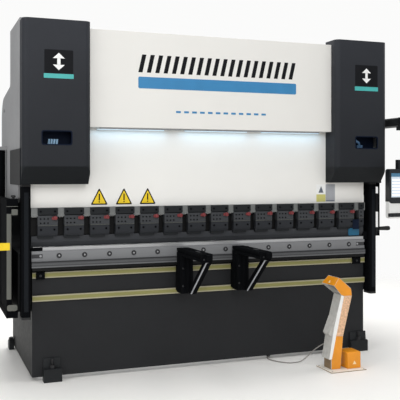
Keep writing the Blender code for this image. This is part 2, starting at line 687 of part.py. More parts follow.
# ---- pedal console ------------------------------------------------------------
def pedal_column():
    """Leaning column with its bent head, drawn in X and Z; the head widens to the back."""
    outline = round_corners([
        (0.826, 0.0083), (0.912, 0.0083), (0.935, 0.269, 0.250), (1.018, 0.592, 0.050),
        (1.010, 0.650, 0.030), (0.898, 0.743), (0.855, 0.675), (0.918, 0.601),
        (0.851, 0.346, 0.300), (0.806, 0.090), (0.826, 0.086)])
    column = plate(outline, (PEDAL_FRONT, PEDAL_REAR), "XZ")
    end, root = [(0.855, 0.675), (0.898, 0.743)], [(0.918, 0.601), (0.978, 0.6767)]
    flare = hull([(x, y, z) for (x, z), rear in zip(end, HEAD_REAR) for y in (PEDAL_FRONT + 0.030, rear)]
                 + [(x, y, z) for x, z in root for y in (PEDAL_FRONT + 0.030, PEDAL_REAR - 0.0005)])
    bracket = plate([(0.890, 0.420), (0.870, 0.420), (0.818, 0.292), (0.836, 0.268), (0.866, 0.268)],
                    (PEDAL_FRONT + 0.020, PEDAL_REAR + 0.004), "XZ")
    gland = rod((CORD_EXIT[0], CORD_EXIT[1] - 0.0116, CORD_EXIT[2]), 0.012, 0.022, "Y", 16)
    return finish(fuse(column, flare, bracket, gland), "pedal_column", "light_grey")


def pedal_base_plate():
    return finish(box(*PEDAL_PLATE), "pedal_base_plate", "screen_white")


def pedal_hood():
    """Hood over the foot pedal, closed towards -Y and open towards +Y."""
    low, high = 0.0083, 0.143
    outline = round_corners([(HOOD_X[0], low), (HOOD_X[1], low), (HOOD_X[1], high, 0.012),
                             (HOOD_X[0], high, 0.012)])
    hood = plate(outline, HOOD_Y, "XZ")
    cavity = box((HOOD_X[0] + 0.007, HOOD_X[1] - 0.007), (HOOD_Y[0] + 0.007, 0.0), (-0.010, 0.134))
    return finish(cut(hood, cavity), "pedal_hood", "orange")


def foot_pedal():
    y = HOOD_Y[0] + 0.030
    middle = sum(HOOD_X) / 2
    tread = box((middle - 0.046, middle + 0.046), (y, -0.320), (0.044, 0.056))
    pivot = rod((middle, y, 0.044), 0.010, 0.092, "X", 16)
    return finish(fuse(tread, pivot), "foot_pedal", "black", (middle, y, 0.044))


def smooth_route(points, spacing):
    """Evenly spaced points on a smooth curve through the route's own points."""
    knots = [Vector(p) for p in points]
    ends = [knots[0] * 2 - knots[1], *knots, knots[-1] * 2 - knots[-2]]
    fine = []
    for i in range(1, len(ends) - 2):
        a, b, c, d = ends[i - 1:i + 3]
        for k in range(24):
            t = k / 24
            fine.append(0.5 * (2 * b + (c - a) * t + (2 * a - 5 * b + 4 * c - d) * t * t
                               + (3 * b - a - 3 * c + d) * t ** 3))
    fine.append(knots[-1])
    total = sum((fine[i + 1] - fine[i]).length for i in range(len(fine) - 1))
    step = total / round(total / spacing)
    route, covered = [fine[0]], 0.0
    for i in range(len(fine) - 1):
        covered += (fine[i + 1] - fine[i]).length
        if covered >= step * len(route) - 1e-9:
            route.append(fine[i + 1])
    route[-1] = fine[-1]
    return route


CORD_ROUTE = [CORD_EXIT, (0.867, -0.318, 0.1845), (0.852, -0.295, 0.176), (0.813, -0.262, 0.140),
              (0.780, -0.232, 0.101), (0.748, -0.198, 0.053), (0.716, -0.168, 0.017),
              (0.668, -0.148, 0.0050), (0.609, -0.140, 0.0050), (0.560, -0.090, 0.0050),
              (0.524, -0.018, 0.0050), (0.512, 0.042, 0.0050), (0.524, 0.084, 0.0085),
              (0.549, 0.102, 0.0120), (0.560, 0.115, 0.0130), (0.561, 0.1285, 0.0130)]


def pedal_cord():
    line = bpy.data.curves.new("cord", "CURVE")
    line.dimensions = "3D"
    line.bevel_depth = CORD_DIAMETER / 2
    line.bevel_resolution = 2
    line.use_fill_caps = True
    route = smooth_route(CORD_ROUTE, CORD_DIAMETER * 2.2)
    spline = line.splines.new("POLY")
    spline.points.add(len(route) - 1)
    for point, place in zip(spline.points, route):
        point.co = (*place, 1.0)
    cord = bpy.data.objects.new("pedal_cord", line)
    PARTS.objects.link(cord)
    cord.data.materials.append(paint("cord_grey"))
    cord.parent = ORIGIN


# ---- assembly -----------------------------------------------------------------
def build_machine():
    side_frame("left_side_frame", -1, *hinge_lugs(-1, GUARD_HINGE, 1.660, LEFT_POST_Z, 0.030))
    side_frame("right_side_frame", 1, swing_arm_bracket(),
               *hinge_lugs(1, RIGHT_GUARD_HINGE, 1.630, RIGHT_POST_Z, 0.030))
    front_bed()
    rear_tie_beam()
    feet()
    cylinder_cover("left_cylinder_cover", -1, (-1.423, -1.202))
    cylinder_cover("right_cylinder_cover", 1, (1.244, 1.465))
    front_panel()
    work_light()
    for name, side in (("left", -1), ("right", 1)):
        cylinder(name + "_cylinder", side)
        piston_rod(name + "_piston_rod", side)
        light_curtain(name + "_light_curtain", side)
    hydraulic_tank()
    pump_motor()
    ram()
    clamp_row()
    for index in range(1, CLAMP_COUNT):
        clamp_lever(index)
    upper_tool()
    lower_die()
    die_holder()
    for name in RAIL_TOPS:
        support_rail(name)
    for name in ARM_LEFT_EDGE:
        support_arm(name)
    left_side_guard()
    right_side_guard()
    control_arm()
    control_panel()
    control_estop()
    electrical_cabinet()
    gauge_guide_frame()
    gauge_carriage()
    gauge_beam()
    gauge_finger("gauge_finger_left", -0.600)
    gauge_finger("gauge_finger_right", 0.600)
    pedal_base_plate()
    pedal_column()
    pedal_hood()
    foot_pedal()
    pedal_cord()


clear_scene()
PARTS = new_collection("press_brake")
ORIGIN = bpy.data.objects.new("machine_origin", None)
PARTS.objects.link(ORIGIN)
ORIGIN.location = (-CENTRE_X, -CENTRE_Y, 0.0)
build_machine()
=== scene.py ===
"""Looks of a CNC press brake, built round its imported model.

Metres, +Z up. Pieces are drawn in the machine's own coordinates: X = 0 midway between
the side frames, Y = 0 at the die holder's front face. ORIGIN is that point in the frame.
"""
import math

import bmesh
import bpy
from mathutils import Matrix, Vector


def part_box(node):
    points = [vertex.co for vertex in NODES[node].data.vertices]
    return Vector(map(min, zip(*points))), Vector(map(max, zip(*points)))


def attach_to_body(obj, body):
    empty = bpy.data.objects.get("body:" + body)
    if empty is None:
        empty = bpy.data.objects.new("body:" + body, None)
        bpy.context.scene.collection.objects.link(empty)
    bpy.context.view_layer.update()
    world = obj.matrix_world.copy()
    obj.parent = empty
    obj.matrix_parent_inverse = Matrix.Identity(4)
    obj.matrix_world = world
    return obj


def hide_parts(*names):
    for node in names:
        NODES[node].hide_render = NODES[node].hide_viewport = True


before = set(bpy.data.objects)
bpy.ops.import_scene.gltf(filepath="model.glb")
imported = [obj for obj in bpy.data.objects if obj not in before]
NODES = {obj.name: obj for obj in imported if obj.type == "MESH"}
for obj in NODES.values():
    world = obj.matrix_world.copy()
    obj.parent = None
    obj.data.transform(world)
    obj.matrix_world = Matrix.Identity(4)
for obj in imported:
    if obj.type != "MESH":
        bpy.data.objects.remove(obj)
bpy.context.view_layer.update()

HOLDER_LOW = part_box("die_holder")[0]
ORIGIN = Vector((HOLDER_LOW.x + 1.475, HOLDER_LOW.y + 0.014, 0.0))
THIN = 0.0008                    # thickness of a film or label
SIDES = (("left", -1), ("right", 1))


def span(node):
    """Lowest and highest corner of a CAD node, in machine coordinates."""
    low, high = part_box(node)
    return low - ORIGIN, high - ORIGIN


# ---- camera, light and floor --------------------------------------------------
def make_camera():
    lens = bpy.data.cameras.new("camera")
    lens.lens = 67.395
    lens.shift_y = -0.0714
    camera = bpy.data.objects.new("camera", lens)
    bpy.context.scene.collection.objects.link(camera)
    camera.location = (-2.3893, -6.0431, 1.5977)
    camera.rotation_euler = (math.radians(90.0), 0.0, math.radians(-20.657))
    bpy.context.scene.camera = camera


def area_light(name, place, target, size, power, tint=(1.0, 1.0, 1.0), depth=None):
    lamp = bpy.data.lights.new(name, "AREA")
    lamp.shape = "RECTANGLE"
    lamp.size = size
    lamp.size_y = depth or size
    lamp.energy = power
    lamp.color = tint
    light = bpy.data.objects.new(name, lamp)
    bpy.context.scene.collection.objects.link(light)
    light.location = place
    light.rotation_euler = (Vector(target) - Vector(place)).to_track_quat("-Z", "Y").to_euler()


def make_world():
    """White studio: the backdrop is seen brighter than the light that it gives."""
    world = bpy.data.worlds.new("studio")
    bpy.context.scene.world = world
    world.use_nodes = True
    nodes, links = world.node_tree.nodes, world.node_tree.links
    seen = nodes.new("ShaderNodeBackground")
    seen.inputs["Color"].default_value = (1.0, 1.0, 0.995, 1.0)
    seen.inputs["Strength"].default_value = 0.965
    glow = nodes["Background"]
    glow.inputs["Color"].default_value = (0.97, 0.985, 1.0, 1.0)
    glow.inputs["Strength"].default_value = 0.50
    rays = nodes.new("ShaderNodeLightPath")
    mix = nodes.new("ShaderNodeMixShader")
    links.new(rays.outputs["Is Camera Ray"], mix.inputs[0])
    links.new(glow.outputs[0], mix.inputs[1])
    links.new(seen.outputs[0], mix.inputs[2])
    links.new(mix.outputs[0], nodes["World Output"].inputs["Surface"])
    bpy.context.scene.view_settings.view_transform = "Standard"


def make_floor():
    """Pale round floor that fades into the backdrop at its rim."""
    bm = bmesh.new()
    bmesh.ops.create_circle(bm, cap_ends=True, radius=7.0, segments=96)
    mesh = bpy.data.meshes.new("floor")
    bm.to_mesh(mesh)
    bm.free()
    floor = bpy.data.objects.new("floor", mesh)
    bpy.context.scene.collection.objects.link(floor)
    floor.location.z = -0.0005
    material = surface("floor_paint", srgb(246, 244, 240), 0.60, spread=0.01, relief=0.0)
    tree = material.node_tree
    place = tree.nodes.new("ShaderNodeTexCoord")
    reach = tree.nodes.new("ShaderNodeVectorMath")
    reach.operation = "LENGTH"
    fade = tree.nodes.new("ShaderNodeMapRange")
    fade.interpolation_type = "SMOOTHSTEP"
    fade.inputs["From Min"].default_value = 3.8
    fade.inputs["From Max"].default_value = 6.2
    clear = tree.nodes.new("ShaderNodeBsdfTransparent")
    mix = tree.nodes.new("ShaderNodeMixShader")
    tree.links.new(place.outputs["Object"], reach.inputs[0])
    tree.links.new(reach.outputs["Value"], fade.inputs["Value"])
    tree.links.new(fade.outputs["Result"], mix.inputs[0])
    tree.links.new(tree.nodes["Principled BSDF"].outputs[0], mix.inputs[1])
    tree.links.new(clear.outputs[0], mix.inputs[2])
    tree.links.new(mix.outputs[0], tree.nodes["Material Output"].inputs["Surface"])
    mesh.materials.append(material)


# ---- materials ----------------------------------------------------------------
def srgb(red, green, blue):
    """Linear colour from an 8-bit display colour."""
    return tuple((c / 255 / 12.92) if c <= 10 else ((c / 255 + 0.055) / 1.055) ** 2.4
                 for c in (red, green, blue))


def noise(tree, scale, detail=3.0, stretch=None):
    """Noise in object coordinates, drawn out by stretch where it is given."""
    place = tree.nodes.new("ShaderNodeTexCoord")
    texture = tree.nodes.new("ShaderNodeTexNoise")
    texture.inputs["Scale"].default_value = scale
    texture.inputs["Detail"].default_value = detail
    source = place.outputs["Object"]
    if stretch:
        mapping = tree.nodes.new("ShaderNodeMapping")
        mapping.inputs["Scale"].default_value = stretch
        tree.links.new(source, mapping.inputs["Vector"])
        source = mapping.outputs["Vector"]
    tree.links.new(source, texture.inputs["Vector"])
    return texture.outputs[0]


def shade(colour, factor):
    return (*(min(1.0, c * factor) for c in colour), 1.0)


def ramp(tree, value, stops):
    """Colour ramp through (position, colour) stops."""
    node = tree.nodes.new("ShaderNodeValToRGB")
    while len(node.color_ramp.elements) < len(stops):
        node.color_ramp.elements.new(0.5)
    for element, (position, colour) in zip(node.color_ramp.elements, stops):
        element.position = position
        element.color = colour
    tree.links.new(value, node.inputs[0])
    return node.outputs[0]


def mixed(tree, factor, first, second):
    node = tree.nodes.new("ShaderNodeMix")
    node.data_type = "RGBA"
    tree.links.new(factor, node.inputs[0])
    for source, socket in ((first, node.inputs[6]), (second, node.inputs[7])):
        if isinstance(source, tuple):
            socket.default_value = source
        else:
            tree.links.new(source, socket)
    return node.outputs[2]


def surface(name, colour, roughness=0.5, metallic=0.0, spread=0.06, patch=2.5, grain=450.0,
            relief=0.12, stretch=None, wear=None, specular=0.5, coat=0.0):
    """Principled material: cloudy colour, uneven gloss, fine relief and worn edges."""
    material = bpy.data.materials.new(name)
    material.use_nodes = True
    tree = material.node_tree
    shader = tree.nodes["Principled BSDF"]
    shader.inputs["Metallic"].default_value = metallic
    shader.inputs["Specular IOR Level"].default_value = specular
    shader.inputs["Coat Weight"].default_value = coat
    cloud = noise(tree, patch, 5.0, stretch)
    base = ramp(tree, cloud, ((0.32, shade(colour, 1 - spread)), (0.68, shade(colour, 1 + spread))))
    if wear:
        sharp = tree.nodes.new("ShaderNodeNewGeometry")
        edge = ramp(tree, sharp.outputs["Pointiness"], ((0.515, (0, 0, 0, 1)), (0.60, (1, 1, 1, 1))))
        base = mixed(tree, edge, base, (*wear, 1.0))
    tree.links.new(base, shader.inputs["Base Color"])
    gloss = tree.nodes.new("ShaderNodeMapRange")
    gloss.inputs["To Min"].default_value = max(0.03, roughness - 0.10)
    gloss.inputs["To Max"].default_value = min(1.0, roughness + 0.10)
    tree.links.new(noise(tree, patch * 12, 4.0, stretch), gloss.inputs["Value"])
    tree.links.new(gloss.outputs["Result"], shader.inputs["Roughness"])
    if relief:
        bump = tree.nodes.new("ShaderNodeBump")
        bump.inputs["Strength"].default_value = relief
        bump.inputs["Distance"].default_value = 0.0006
        tree.links.new(noise(tree, grain, 2.0, stretch), bump.inputs["Height"])
        tree.links.new(bump.outputs["Normal"], shader.inputs["Normal"])
    return material


def glowing(material, colour, strength):
    shader = material.node_tree.nodes["Principled BSDF"]
    shader.inputs["Emission Color"].default_value = (*colour, 1.0)
    shader.inputs["Emission Strength"].default_value = strength
    return material


def graded(name, stops, roughness, patch=2.5, stretch=None, specular=0.3):
    """Paint whose colour depends on the height: stops are (height, colour) pairs."""
    material = surface(name, (0.95, 0.95, 0.95), roughness, spread=0.05, patch=patch, stretch=stretch,
                       specular=specular)
    tree = material.node_tree
    shader = tree.nodes["Principled BSDF"]
    place = tree.nodes.new("ShaderNodeTexCoord")
    split = tree.nodes.new("ShaderNodeSeparateXYZ")
    height = tree.nodes.new("ShaderNodeMapRange")
    low, high = stops[0][0], stops[-1][0]
    height.inputs["From Min"].default_value = low
    height.inputs["From Max"].default_value = high
    tree.links.new(place.outputs["Object"], split.inputs[0])
    tree.links.new(split.outputs["Z"], height.inputs["Value"])
    tint = ramp(tree, height.outputs["Result"],
                [((z - low) / (high - low), shade(colour, 1.0)) for z, colour in stops])
    blend = tree.nodes.new("ShaderNodeMix")
    blend.data_type = "RGBA"
    blend.blend_type = "MULTIPLY"
    blend.inputs[0].default_value = 1.0
    tree.links.new(shader.inputs["Base Color"].links[0].from_socket, blend.inputs[6])
    tree.links.new(tint, blend.inputs[7])
    tree.links.new(blend.outputs[2], shader.inputs["Base Color"])
    return material


BARE = srgb(150, 150, 150)
PAINT = {
    "frame": surface("frame_paint", srgb(152, 152, 153), 0.50, spread=0.04),
    "frame_dark": surface("frame_dark_paint", srgb(40, 42, 45), 0.55, spread=0.08, specular=0.3),
    "bed": surface("bed_paint", srgb(34, 35, 37), 0.55, spread=0.07, specular=0.2),
    "white": surface("white_paint", srgb(238, 236, 231), 0.42, spread=0.012, relief=0.05),
    "banner": surface("banner_paint", srgb(229, 227, 222), 0.42, spread=0.012, relief=0.05),
    "black": surface("satin_black", srgb(17, 18, 20), 0.45, spread=0.15, specular=0.16,
                     wear=srgb(44, 46, 48)),
    "head_black": surface("head_black", srgb(10, 11, 12), 0.60, spread=0.15, patch=22.0,
                          wear=srgb(50, 52, 54), specular=0.03),
    "matt_black": surface("matt_black", srgb(13, 14, 16), 0.85, spread=0.15, specular=0.02),
    "curtain_glass": surface("curtain_glass", srgb(20, 23, 27), 0.40, spread=0.12, specular=0.10),
    "deep_black": surface("deep_black", srgb(9, 9, 10), 0.55, spread=0.2, specular=0.2),
    "clamp": surface("clamp_oxide", srgb(16, 17, 19), 0.55, spread=0.16, patch=22.0,
                     wear=srgb(80, 82, 85), specular=0.07),
    # Darker copy of the clamp oxide, for the jaws: painted shade under the clamp blocks.
    "clamp_shaded": surface("clamp_oxide_shaded", srgb(9, 10, 12), 0.55, spread=0.16, patch=22.0,
                          wear=srgb(58, 60, 64), specular=0.06),
    "bolt": surface("black_bolt", srgb(12, 12, 14), 0.40, spread=0.2, patch=60.0,
                    wear=srgb(60, 60, 62), specular=0.25),
    "nose": surface("nose_steel", srgb(112, 114, 113), 0.45, 0.1, spread=0.08, patch=9.0,
                    stretch=(0.3, 1, 4)),
    "punch": surface("punch_steel", srgb(17, 19, 22), 0.55, spread=0.14, patch=6.0,
                     stretch=(0.25, 1, 6), wear=srgb(84, 86, 90), specular=0.10),
    "die": surface("die_steel", srgb(116, 117, 120), 0.32, 0.85, spread=0.12, patch=6.0,
                   grain=90.0, relief=0.2, stretch=(0.12, 1, 9), wear=srgb(230, 230, 230)),
    "steel": surface("machined_steel", srgb(175, 176, 178), 0.30, 0.9, spread=0.08, patch=20.0),
    "chrome": surface("rod_chrome", srgb(205, 206, 208), 0.12, 1.0, spread=0.03, relief=0.02),
    "aluminium": surface("aluminium", srgb(178, 180, 182), 0.38, 0.7, spread=0.06, patch=8.0,
                         grain=120.0, stretch=(1, 1, 0.15)),
    "stile": surface("stile_aluminium", srgb(100, 101, 95), 0.45, 0.35, spread=0.07, patch=8.0,
                     stretch=(1, 1, 0.15)),
    "red": surface("lever_red", srgb(112, 33, 36), 0.40, spread=0.20, patch=40.0, coat=0.15),
    "estop_red": surface("estop_red", srgb(190, 30, 24), 0.30, spread=0.08, patch=40.0, coat=0.5),
    "yellow": surface("label_yellow", srgb(240, 205, 20), 0.45, spread=0.05, patch=10.0),
    "label_white": surface("label_white", srgb(240, 240, 238), 0.45, spread=0.02, relief=0.02),
    "label_grey": surface("label_grey", srgb(165, 167, 172), 0.45, spread=0.05, patch=10.0),
    "teal": surface("label_teal", srgb(66, 172, 168), 0.45, spread=0.04, patch=10.0),
    "blue": surface("label_blue", srgb(52, 128, 178), 0.45, spread=0.04, patch=10.0),
    "ink": surface("label_black", srgb(22, 23, 26), 0.60, spread=0.08, patch=10.0, specular=0.1),
    "orange": surface("console_orange", srgb(233, 148, 12), 0.42, spread=0.07, patch=9.0, coat=0.2),
    "salmon": surface("console_salmon", srgb(222, 180, 144), 0.45, spread=0.22, patch=60.0),
    "sheet_grey": surface("console_grey", srgb(190, 188, 183), 0.50, spread=0.10, patch=26.0),
    "plate": surface("plate_white", srgb(240, 239, 236), 0.45, spread=0.02),
    "cord": surface("cord_sheath", srgb(138, 134, 130), 0.55, spread=0.08, patch=30.0),
    "rubber": surface("black_rubber", srgb(26, 26, 27), 0.75, spread=0.12, patch=30.0),
    "hydraulic": surface("hydraulic_paint", srgb(52, 56, 62), 0.45, spread=0.08, patch=6.0),
    "motor": surface("motor_paint", srgb(96, 104, 116), 0.48, spread=0.08, patch=10.0),
    "cabinet": surface("cabinet_paint", srgb(184, 184, 182), 0.50, spread=0.03),
    "housing": surface("panel_housing", srgb(228, 228, 226), 0.42, spread=0.02, grain=900.0),
    "bezel": surface("panel_bezel", srgb(26, 29, 33), 0.30, spread=0.10, patch=10.0),
    "hose": surface("hose_blue", srgb(74, 108, 142), 0.45, spread=0.15, patch=30.0),
    "coil": surface("coil_blue", srgb(140, 176, 204), 0.45, spread=0.10, patch=30.0),
    "navy": surface("inner_navy", srgb(12, 22, 40), 0.60, spread=0.15, specular=0.1),
    "mark_cream": surface("mark_cream", srgb(248, 222, 178), 0.45, spread=0.06, patch=20.0),
    "pale_yellow": surface("label_pale_yellow", srgb(206, 200, 120), 0.45, spread=0.05, patch=10.0),
    "tag_blue": surface("tag_blue", srgb(14, 90, 122), 0.40, spread=0.10, patch=20.0),
    "brass": surface("brass", srgb(170, 140, 80), 0.35, 0.9, spread=0.10, patch=30.0),
    # Brownish tone for the console's recess: painted shade.
    "recess_shade_tone": surface("recess_painted_shade", srgb(128, 106, 78), 0.60, spread=0.10, patch=20.0),
}
PAINT["lamp"] = glowing(surface("lamp_lens", srgb(225, 238, 250), 0.35, spread=0.02),
                        srgb(170, 210, 232), 0.5)
PAINT["clear"] = surface("clear_sheet", srgb(225, 228, 228), 0.15, spread=0.03, relief=0.0)
PAINT["clear"].node_tree.nodes["Principled BSDF"].inputs["Alpha"].default_value = 0.10
PAINT["screen"] = glowing(surface("screen_base", srgb(205, 215, 225), 0.25, spread=0.03),
                          srgb(215, 228, 240), 0.12)
PAINT["screen_head"] = glowing(surface("screen_header", srgb(70, 112, 140), 0.25, spread=0.05),
                               srgb(70, 112, 140), 0.25)
PAINT["screen_row"] = glowing(surface("screen_row", srgb(238, 242, 246), 0.25, spread=0.02),
                              srgb(238, 242, 246), 0.35)


# ---- shaping ------------------------------------------------------------------
def smooth_by_angle():
    """Node group that shades a mesh smooth but keeps edges over 35 degrees sharp."""
    group = bpy.data.node_groups.new("smooth_by_angle", "GeometryNodeTree")
    group.interface.new_socket("Geometry", in_out="INPUT", socket_type="NodeSocketGeometry")
    group.interface.new_socket("Geometry", in_out="OUTPUT", socket_type="NodeSocketGeometry")
    start, end = group.nodes.new("NodeGroupInput"), group.nodes.new("NodeGroupOutput")
    angle = group.nodes.new("GeometryNodeInputMeshEdgeAngle")
    flat = group.nodes.new("FunctionNodeCompare")
    flat.operation = "LESS_THAN"
    flat.inputs[1].default_value = math.radians(35.0)
    faces = group.nodes.new("GeometryNodeSetShadeSmooth")
    edges = group.nodes.new("GeometryNodeSetShadeSmooth")
    edges.domain = "EDGE"
    group.links.new(start.outputs[0], faces.inputs[0])
    group.links.new(faces.outputs[0], edges.inputs[0])
    group.links.new(angle.outputs[0], flat.inputs[0])
    group.links.new(flat.outputs[0], edges.inputs["Shade Smooth"])
    group.links.new(edges.outputs[0], end.inputs[0])
    return group


SMOOTH = smooth_by_angle()


def soften(piece, edge, segments=2):
    """Rounded edges and smooth shading, without touching the mesh itself."""
    if edge:
        bevel = piece.modifiers.new("edges", "BEVEL")
        bevel.width = edge
        bevel.segments = segments
        bevel.limit_method = "ANGLE"
        bevel.angle_limit = math.radians(35.0)
        bevel.use_clamp_overlap = True
    smooth = piece.modifiers.new("smooth", "NODES")
    smooth.node_group = SMOOTH
    weighted = piece.modifiers.new("normals", "WEIGHTED_NORMAL")
    weighted.keep_sharp = True
    weighted.weight = 100


def carry(node, paint, edge=0.0015):
    """Keep a CAD node: new material, welded faces and rounded edges."""
    piece = NODES[node]
    piece.data.materials.clear()
    piece.data.materials.append(PAINT[paint] if isinstance(paint, str) else paint)
    weld = piece.modifiers.new("weld", "WELD")
    weld.merge_threshold = 0.00001
    flat = piece.modifiers.new("planes", "DECIMATE")
    flat.decimate_type = "DISSOLVE"
    flat.angle_limit = math.radians(0.5)
    soften(piece, edge)


class Shape:
    """Closed solids gathered for one piece, in machine coordinates."""

    def __init__(self):
        self.bm = bmesh.new()

    def box(self, x, y, z):
        size = [abs(pair[1] - pair[0]) for pair in (x, y, z)]
        centre = [(pair[0] + pair[1]) / 2 for pair in (x, y, z)]
        verts = bmesh.ops.create_cube(self.bm, size=1.0)["verts"]
        bmesh.ops.scale(self.bm, verts=verts, vec=size)
        bmesh.ops.translate(self.bm, verts=verts, vec=centre)
        return self

    def turned(self, profile, centre, axis="Z", segments=32):
        """Turned solid; the profile is (radius, place along the axis) from end to end."""
        axes = {"X": (1, 2, 0), "Y": (2, 0, 1), "Z": (0, 1, 2)}[axis]
        rings = []
        for radius, along in profile:
            ring = []
            for k in range(segments):
                turn = 2 * math.pi * k / segments
                point = [0.0, 0.0, 0.0]
                point[axes[0]] = radius * math.cos(turn)
                point[axes[1]] = radius * math.sin(turn)
                point[axes[2]] = along
                ring.append(self.bm.verts.new(Vector(point) + Vector(centre)))
            rings.append(ring)
        for one, two in zip(rings, rings[1:]):
            for k in range(segments):
                after = (k + 1) % segments
                self.bm.faces.new((one[k], one[after], two[after], two[k]))
        self.bm.faces.new(list(reversed(rings[0])))
        self.bm.faces.new(rings[-1])
        return self

    def rod(self, centre, radius, length, axis="Z", segments=32, tip=None):
        far = radius if tip is None else tip
        return self.turned([(radius, -length / 2), (far, length / 2)], centre, axis, segments)

    def prism(self, outline, limits, plane="YZ"):
        """Flat outline drawn in a plane and extruded between two limits across it."""
        places = {"YZ": lambda u, v, w: (w, u, v), "XZ": lambda u, v, w: (u, w, v),
                  "XY": lambda u, v, w: (u, v, w)}[plane]
        ends = [[self.bm.verts.new(places(u, v, w)) for u, v in outline] for w in limits]
        count = len(outline)
        self.bm.faces.new(list(reversed(ends[0])))
        self.bm.faces.new(ends[1])
        for k in range(count):
            after = (k + 1) % count
            self.bm.faces.new((ends[0][k], ends[0][after], ends[1][after], ends[1][k]))
        return self

    def screw(self, centre, radius, facing="-Y", height=None):
        """Socket screw head with its hexagonal hole, facing along an axis."""
        height = height or radius * 0.7
        sign = -1 if facing[0] == "-" else 1
        hole = radius * 0.48
        self.turned([(radius, 0.0), (radius, sign * height * 0.85), (radius * 0.92, sign * height),
                     (hole, sign * height), (hole, sign * height * 0.35)], centre, facing[-1], 18)
        return self

    def piece(self, name, body, slot, paint, edge=0.001, stands_for=(), less=None):
        """Turn what was gathered into a piece that rides on a body."""
        made = self.mesh_object(name)
        if less:
            cutter = less.mesh_object("cutter")
            change = made.modifiers.new("cut", "BOOLEAN")
            change.operation = "DIFFERENCE"
            change.object = cutter
            view = bpy.context.evaluated_depsgraph_get()
            made.data = bpy.data.meshes.new_from_object(made.evaluated_get(view))
            made.modifiers.clear()
            bpy.data.objects.remove(cutter, do_unlink=True)
        made.data.name = name
        made.data.materials.clear()
        made.data.materials.append(PAINT[paint])
        soften(made, edge)
        return attach(made, body, stands_for)

    def mesh_object(self, name):
        bmesh.ops.recalc_face_normals(self.bm, faces=self.bm.faces)
        mesh = bpy.data.meshes.new(name)
        self.bm.to_mesh(mesh)
        self.bm.free()
        made = bpy.data.objects.new(name, mesh)
        bpy.context.scene.collection.objects.link(made)
        made.location = ORIGIN
        return made


def attach(made, body, stands_for=()):
    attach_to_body(made, body)
    if stands_for:
        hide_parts(*stands_for)
    return made


def round_corners(points, steps=8):
    """Points are (u, v) or (u, v, radius): each corner with a radius becomes an arc."""
    result = []
    for i, point in enumerate(points):
        corner = Vector(point[:2])
        if len(point) < 3:
            result.append(tuple(corner))
            continue
        before = (Vector(points[i - 1][:2]) - corner).normalized()
        after = (Vector(points[(i + 1) % len(points)][:2]) - corner).normalized()
        half = before.angle(after) / 2
        centre = corner + (before + after).normalized() * point[2] / math.sin(half)
        start = corner + before * point[2] / math.tan(half) - centre
        finish = corner + after * point[2] / math.tan(half) - centre
        sweep = math.atan2(start.x * finish.y - start.y * finish.x, start.dot(finish))
        for k in range(steps + 1):
            result.append(tuple(centre + Matrix.Rotation(sweep * k / steps, 2) @ start))
    return result


def rounded(u, v, radius, steps=6):
    """Rounded rectangle between two limits each way."""
    return round_corners([(u[0], v[0], radius), (u[1], v[0], radius), (u[1], v[1], radius),
                          (u[0], v[1], radius)], steps)


def smooth_route(points, pieces=8):
    """Points on a smooth curve through the route's own points."""
    knots = [Vector(p) for p in points]
    ends = [knots[0] * 2 - knots[1], *knots, knots[-1] * 2 - knots[-2]]
    fine = []
    for i in range(1, len(ends) - 2):
        a, b, c, d = ends[i - 1:i + 3]
        for k in range(pieces):
            t = k / pieces
            fine.append(0.5 * (2 * b + (c - a) * t + (2 * a - 5 * b + 4 * c - d) * t * t
                               + (3 * b - a - 3 * c + d) * t ** 3))
    return [*fine, knots[-1]]


def line_piece(name, body, paint, routes, radius, stands_for=()):
    """Round line along each route: a pipe, a hose or a wire."""
    curve = bpy.data.curves.new(name, "CURVE")
    curve.dimensions = "3D"
    curve.bevel_depth = radius
    curve.bevel_resolution = 4
    curve.use_fill_caps = True
    for route in routes:
        spline = curve.splines.new("POLY")
        spline.points.add(len(route) - 1)
        for point, place in zip(spline.points, route):
            point.co = (*place, 1.0)
    curve.materials.append(PAINT[paint])
    made = bpy.data.objects.new(name, curve)
    bpy.context.scene.collection.objects.link(made)
    made.location = ORIGIN
    return attach(made, body, stands_for)


# ---- pedal cord ---------------------------------------------------------------
CORD_DIAMETER = 0.009
CORD_ROUTE = [
    (0.868, -0.3347, 0.185), (0.867, -0.318, 0.1845), (0.852, -0.295, 0.176), (0.813, -0.262, 0.140),
    (0.780, -0.232, 0.101), (0.748, -0.198, 0.053), (0.716, -0.168, 0.017), (0.668, -0.148, 0.0050),
    (0.609, -0.140, 0.0050), (0.560, -0.090, 0.0050), (0.524, -0.018, 0.0050), (0.512, 0.042, 0.0050),
    (0.524, 0.084, 0.0085), (0.549, 0.102, 0.0120), (0.560, 0.115, 0.0130), (0.561, 0.1285, 0.0130)]


def pedal_cord():
    route = smooth_route(CORD_ROUTE)
    cable = line_piece("pedal_cable", "machine", "cord", [route], CORD_DIAMETER / 2,
                       ("pedal_cord",))


# ---- frame, ram and covers ----------------------------------------------------
def frame_and_ram():
    paint = graded("side_frame_paint", ((0.0, srgb(30, 31, 31)), (1.345, srgb(21, 23, 25)),
                                        (1.350, srgb(144, 144, 145)), (2.75, srgb(153, 153, 154))), 0.55, specular=0.15)
    # The cover paint is darker towards the bottom, and below Z 1.64 its downward-facing slope is painted dark: painted
    # shade.
    shell = graded("cover_shell_painted_shade", ((1.50, srgb(20, 23, 26)), (1.630, srgb(22, 25, 28)),
                                         (1.642, srgb(38, 40, 44)), (2.72, srgb(50, 52, 57))), 0.55, specular=0.15)
    carry("left_side_frame", paint, 0.003)
    carry("right_side_frame", paint, 0.003)
    carry("rear_tie_beam", "frame", 0.003)
    for side, sign in SIDES:
        # Matt black disc where the side frame's lifting hole is: painted shade of the hole.
        Shape().rod((sign * 1.543, 1.07, 2.13), 0.0215, 0.036, "X").piece(
            side + "_lifting_hole_shade", "machine", "frame_paint", "matt_black", 0.001)
    carry("front_bed", "bed", 0.003)
    carry("ram", "white", 0.002)
    carry("front_panel", "banner", 0.002)
    carry("left_cylinder_cover", shell, 0.002)
    carry("right_cylinder_cover", shell, 0.002)


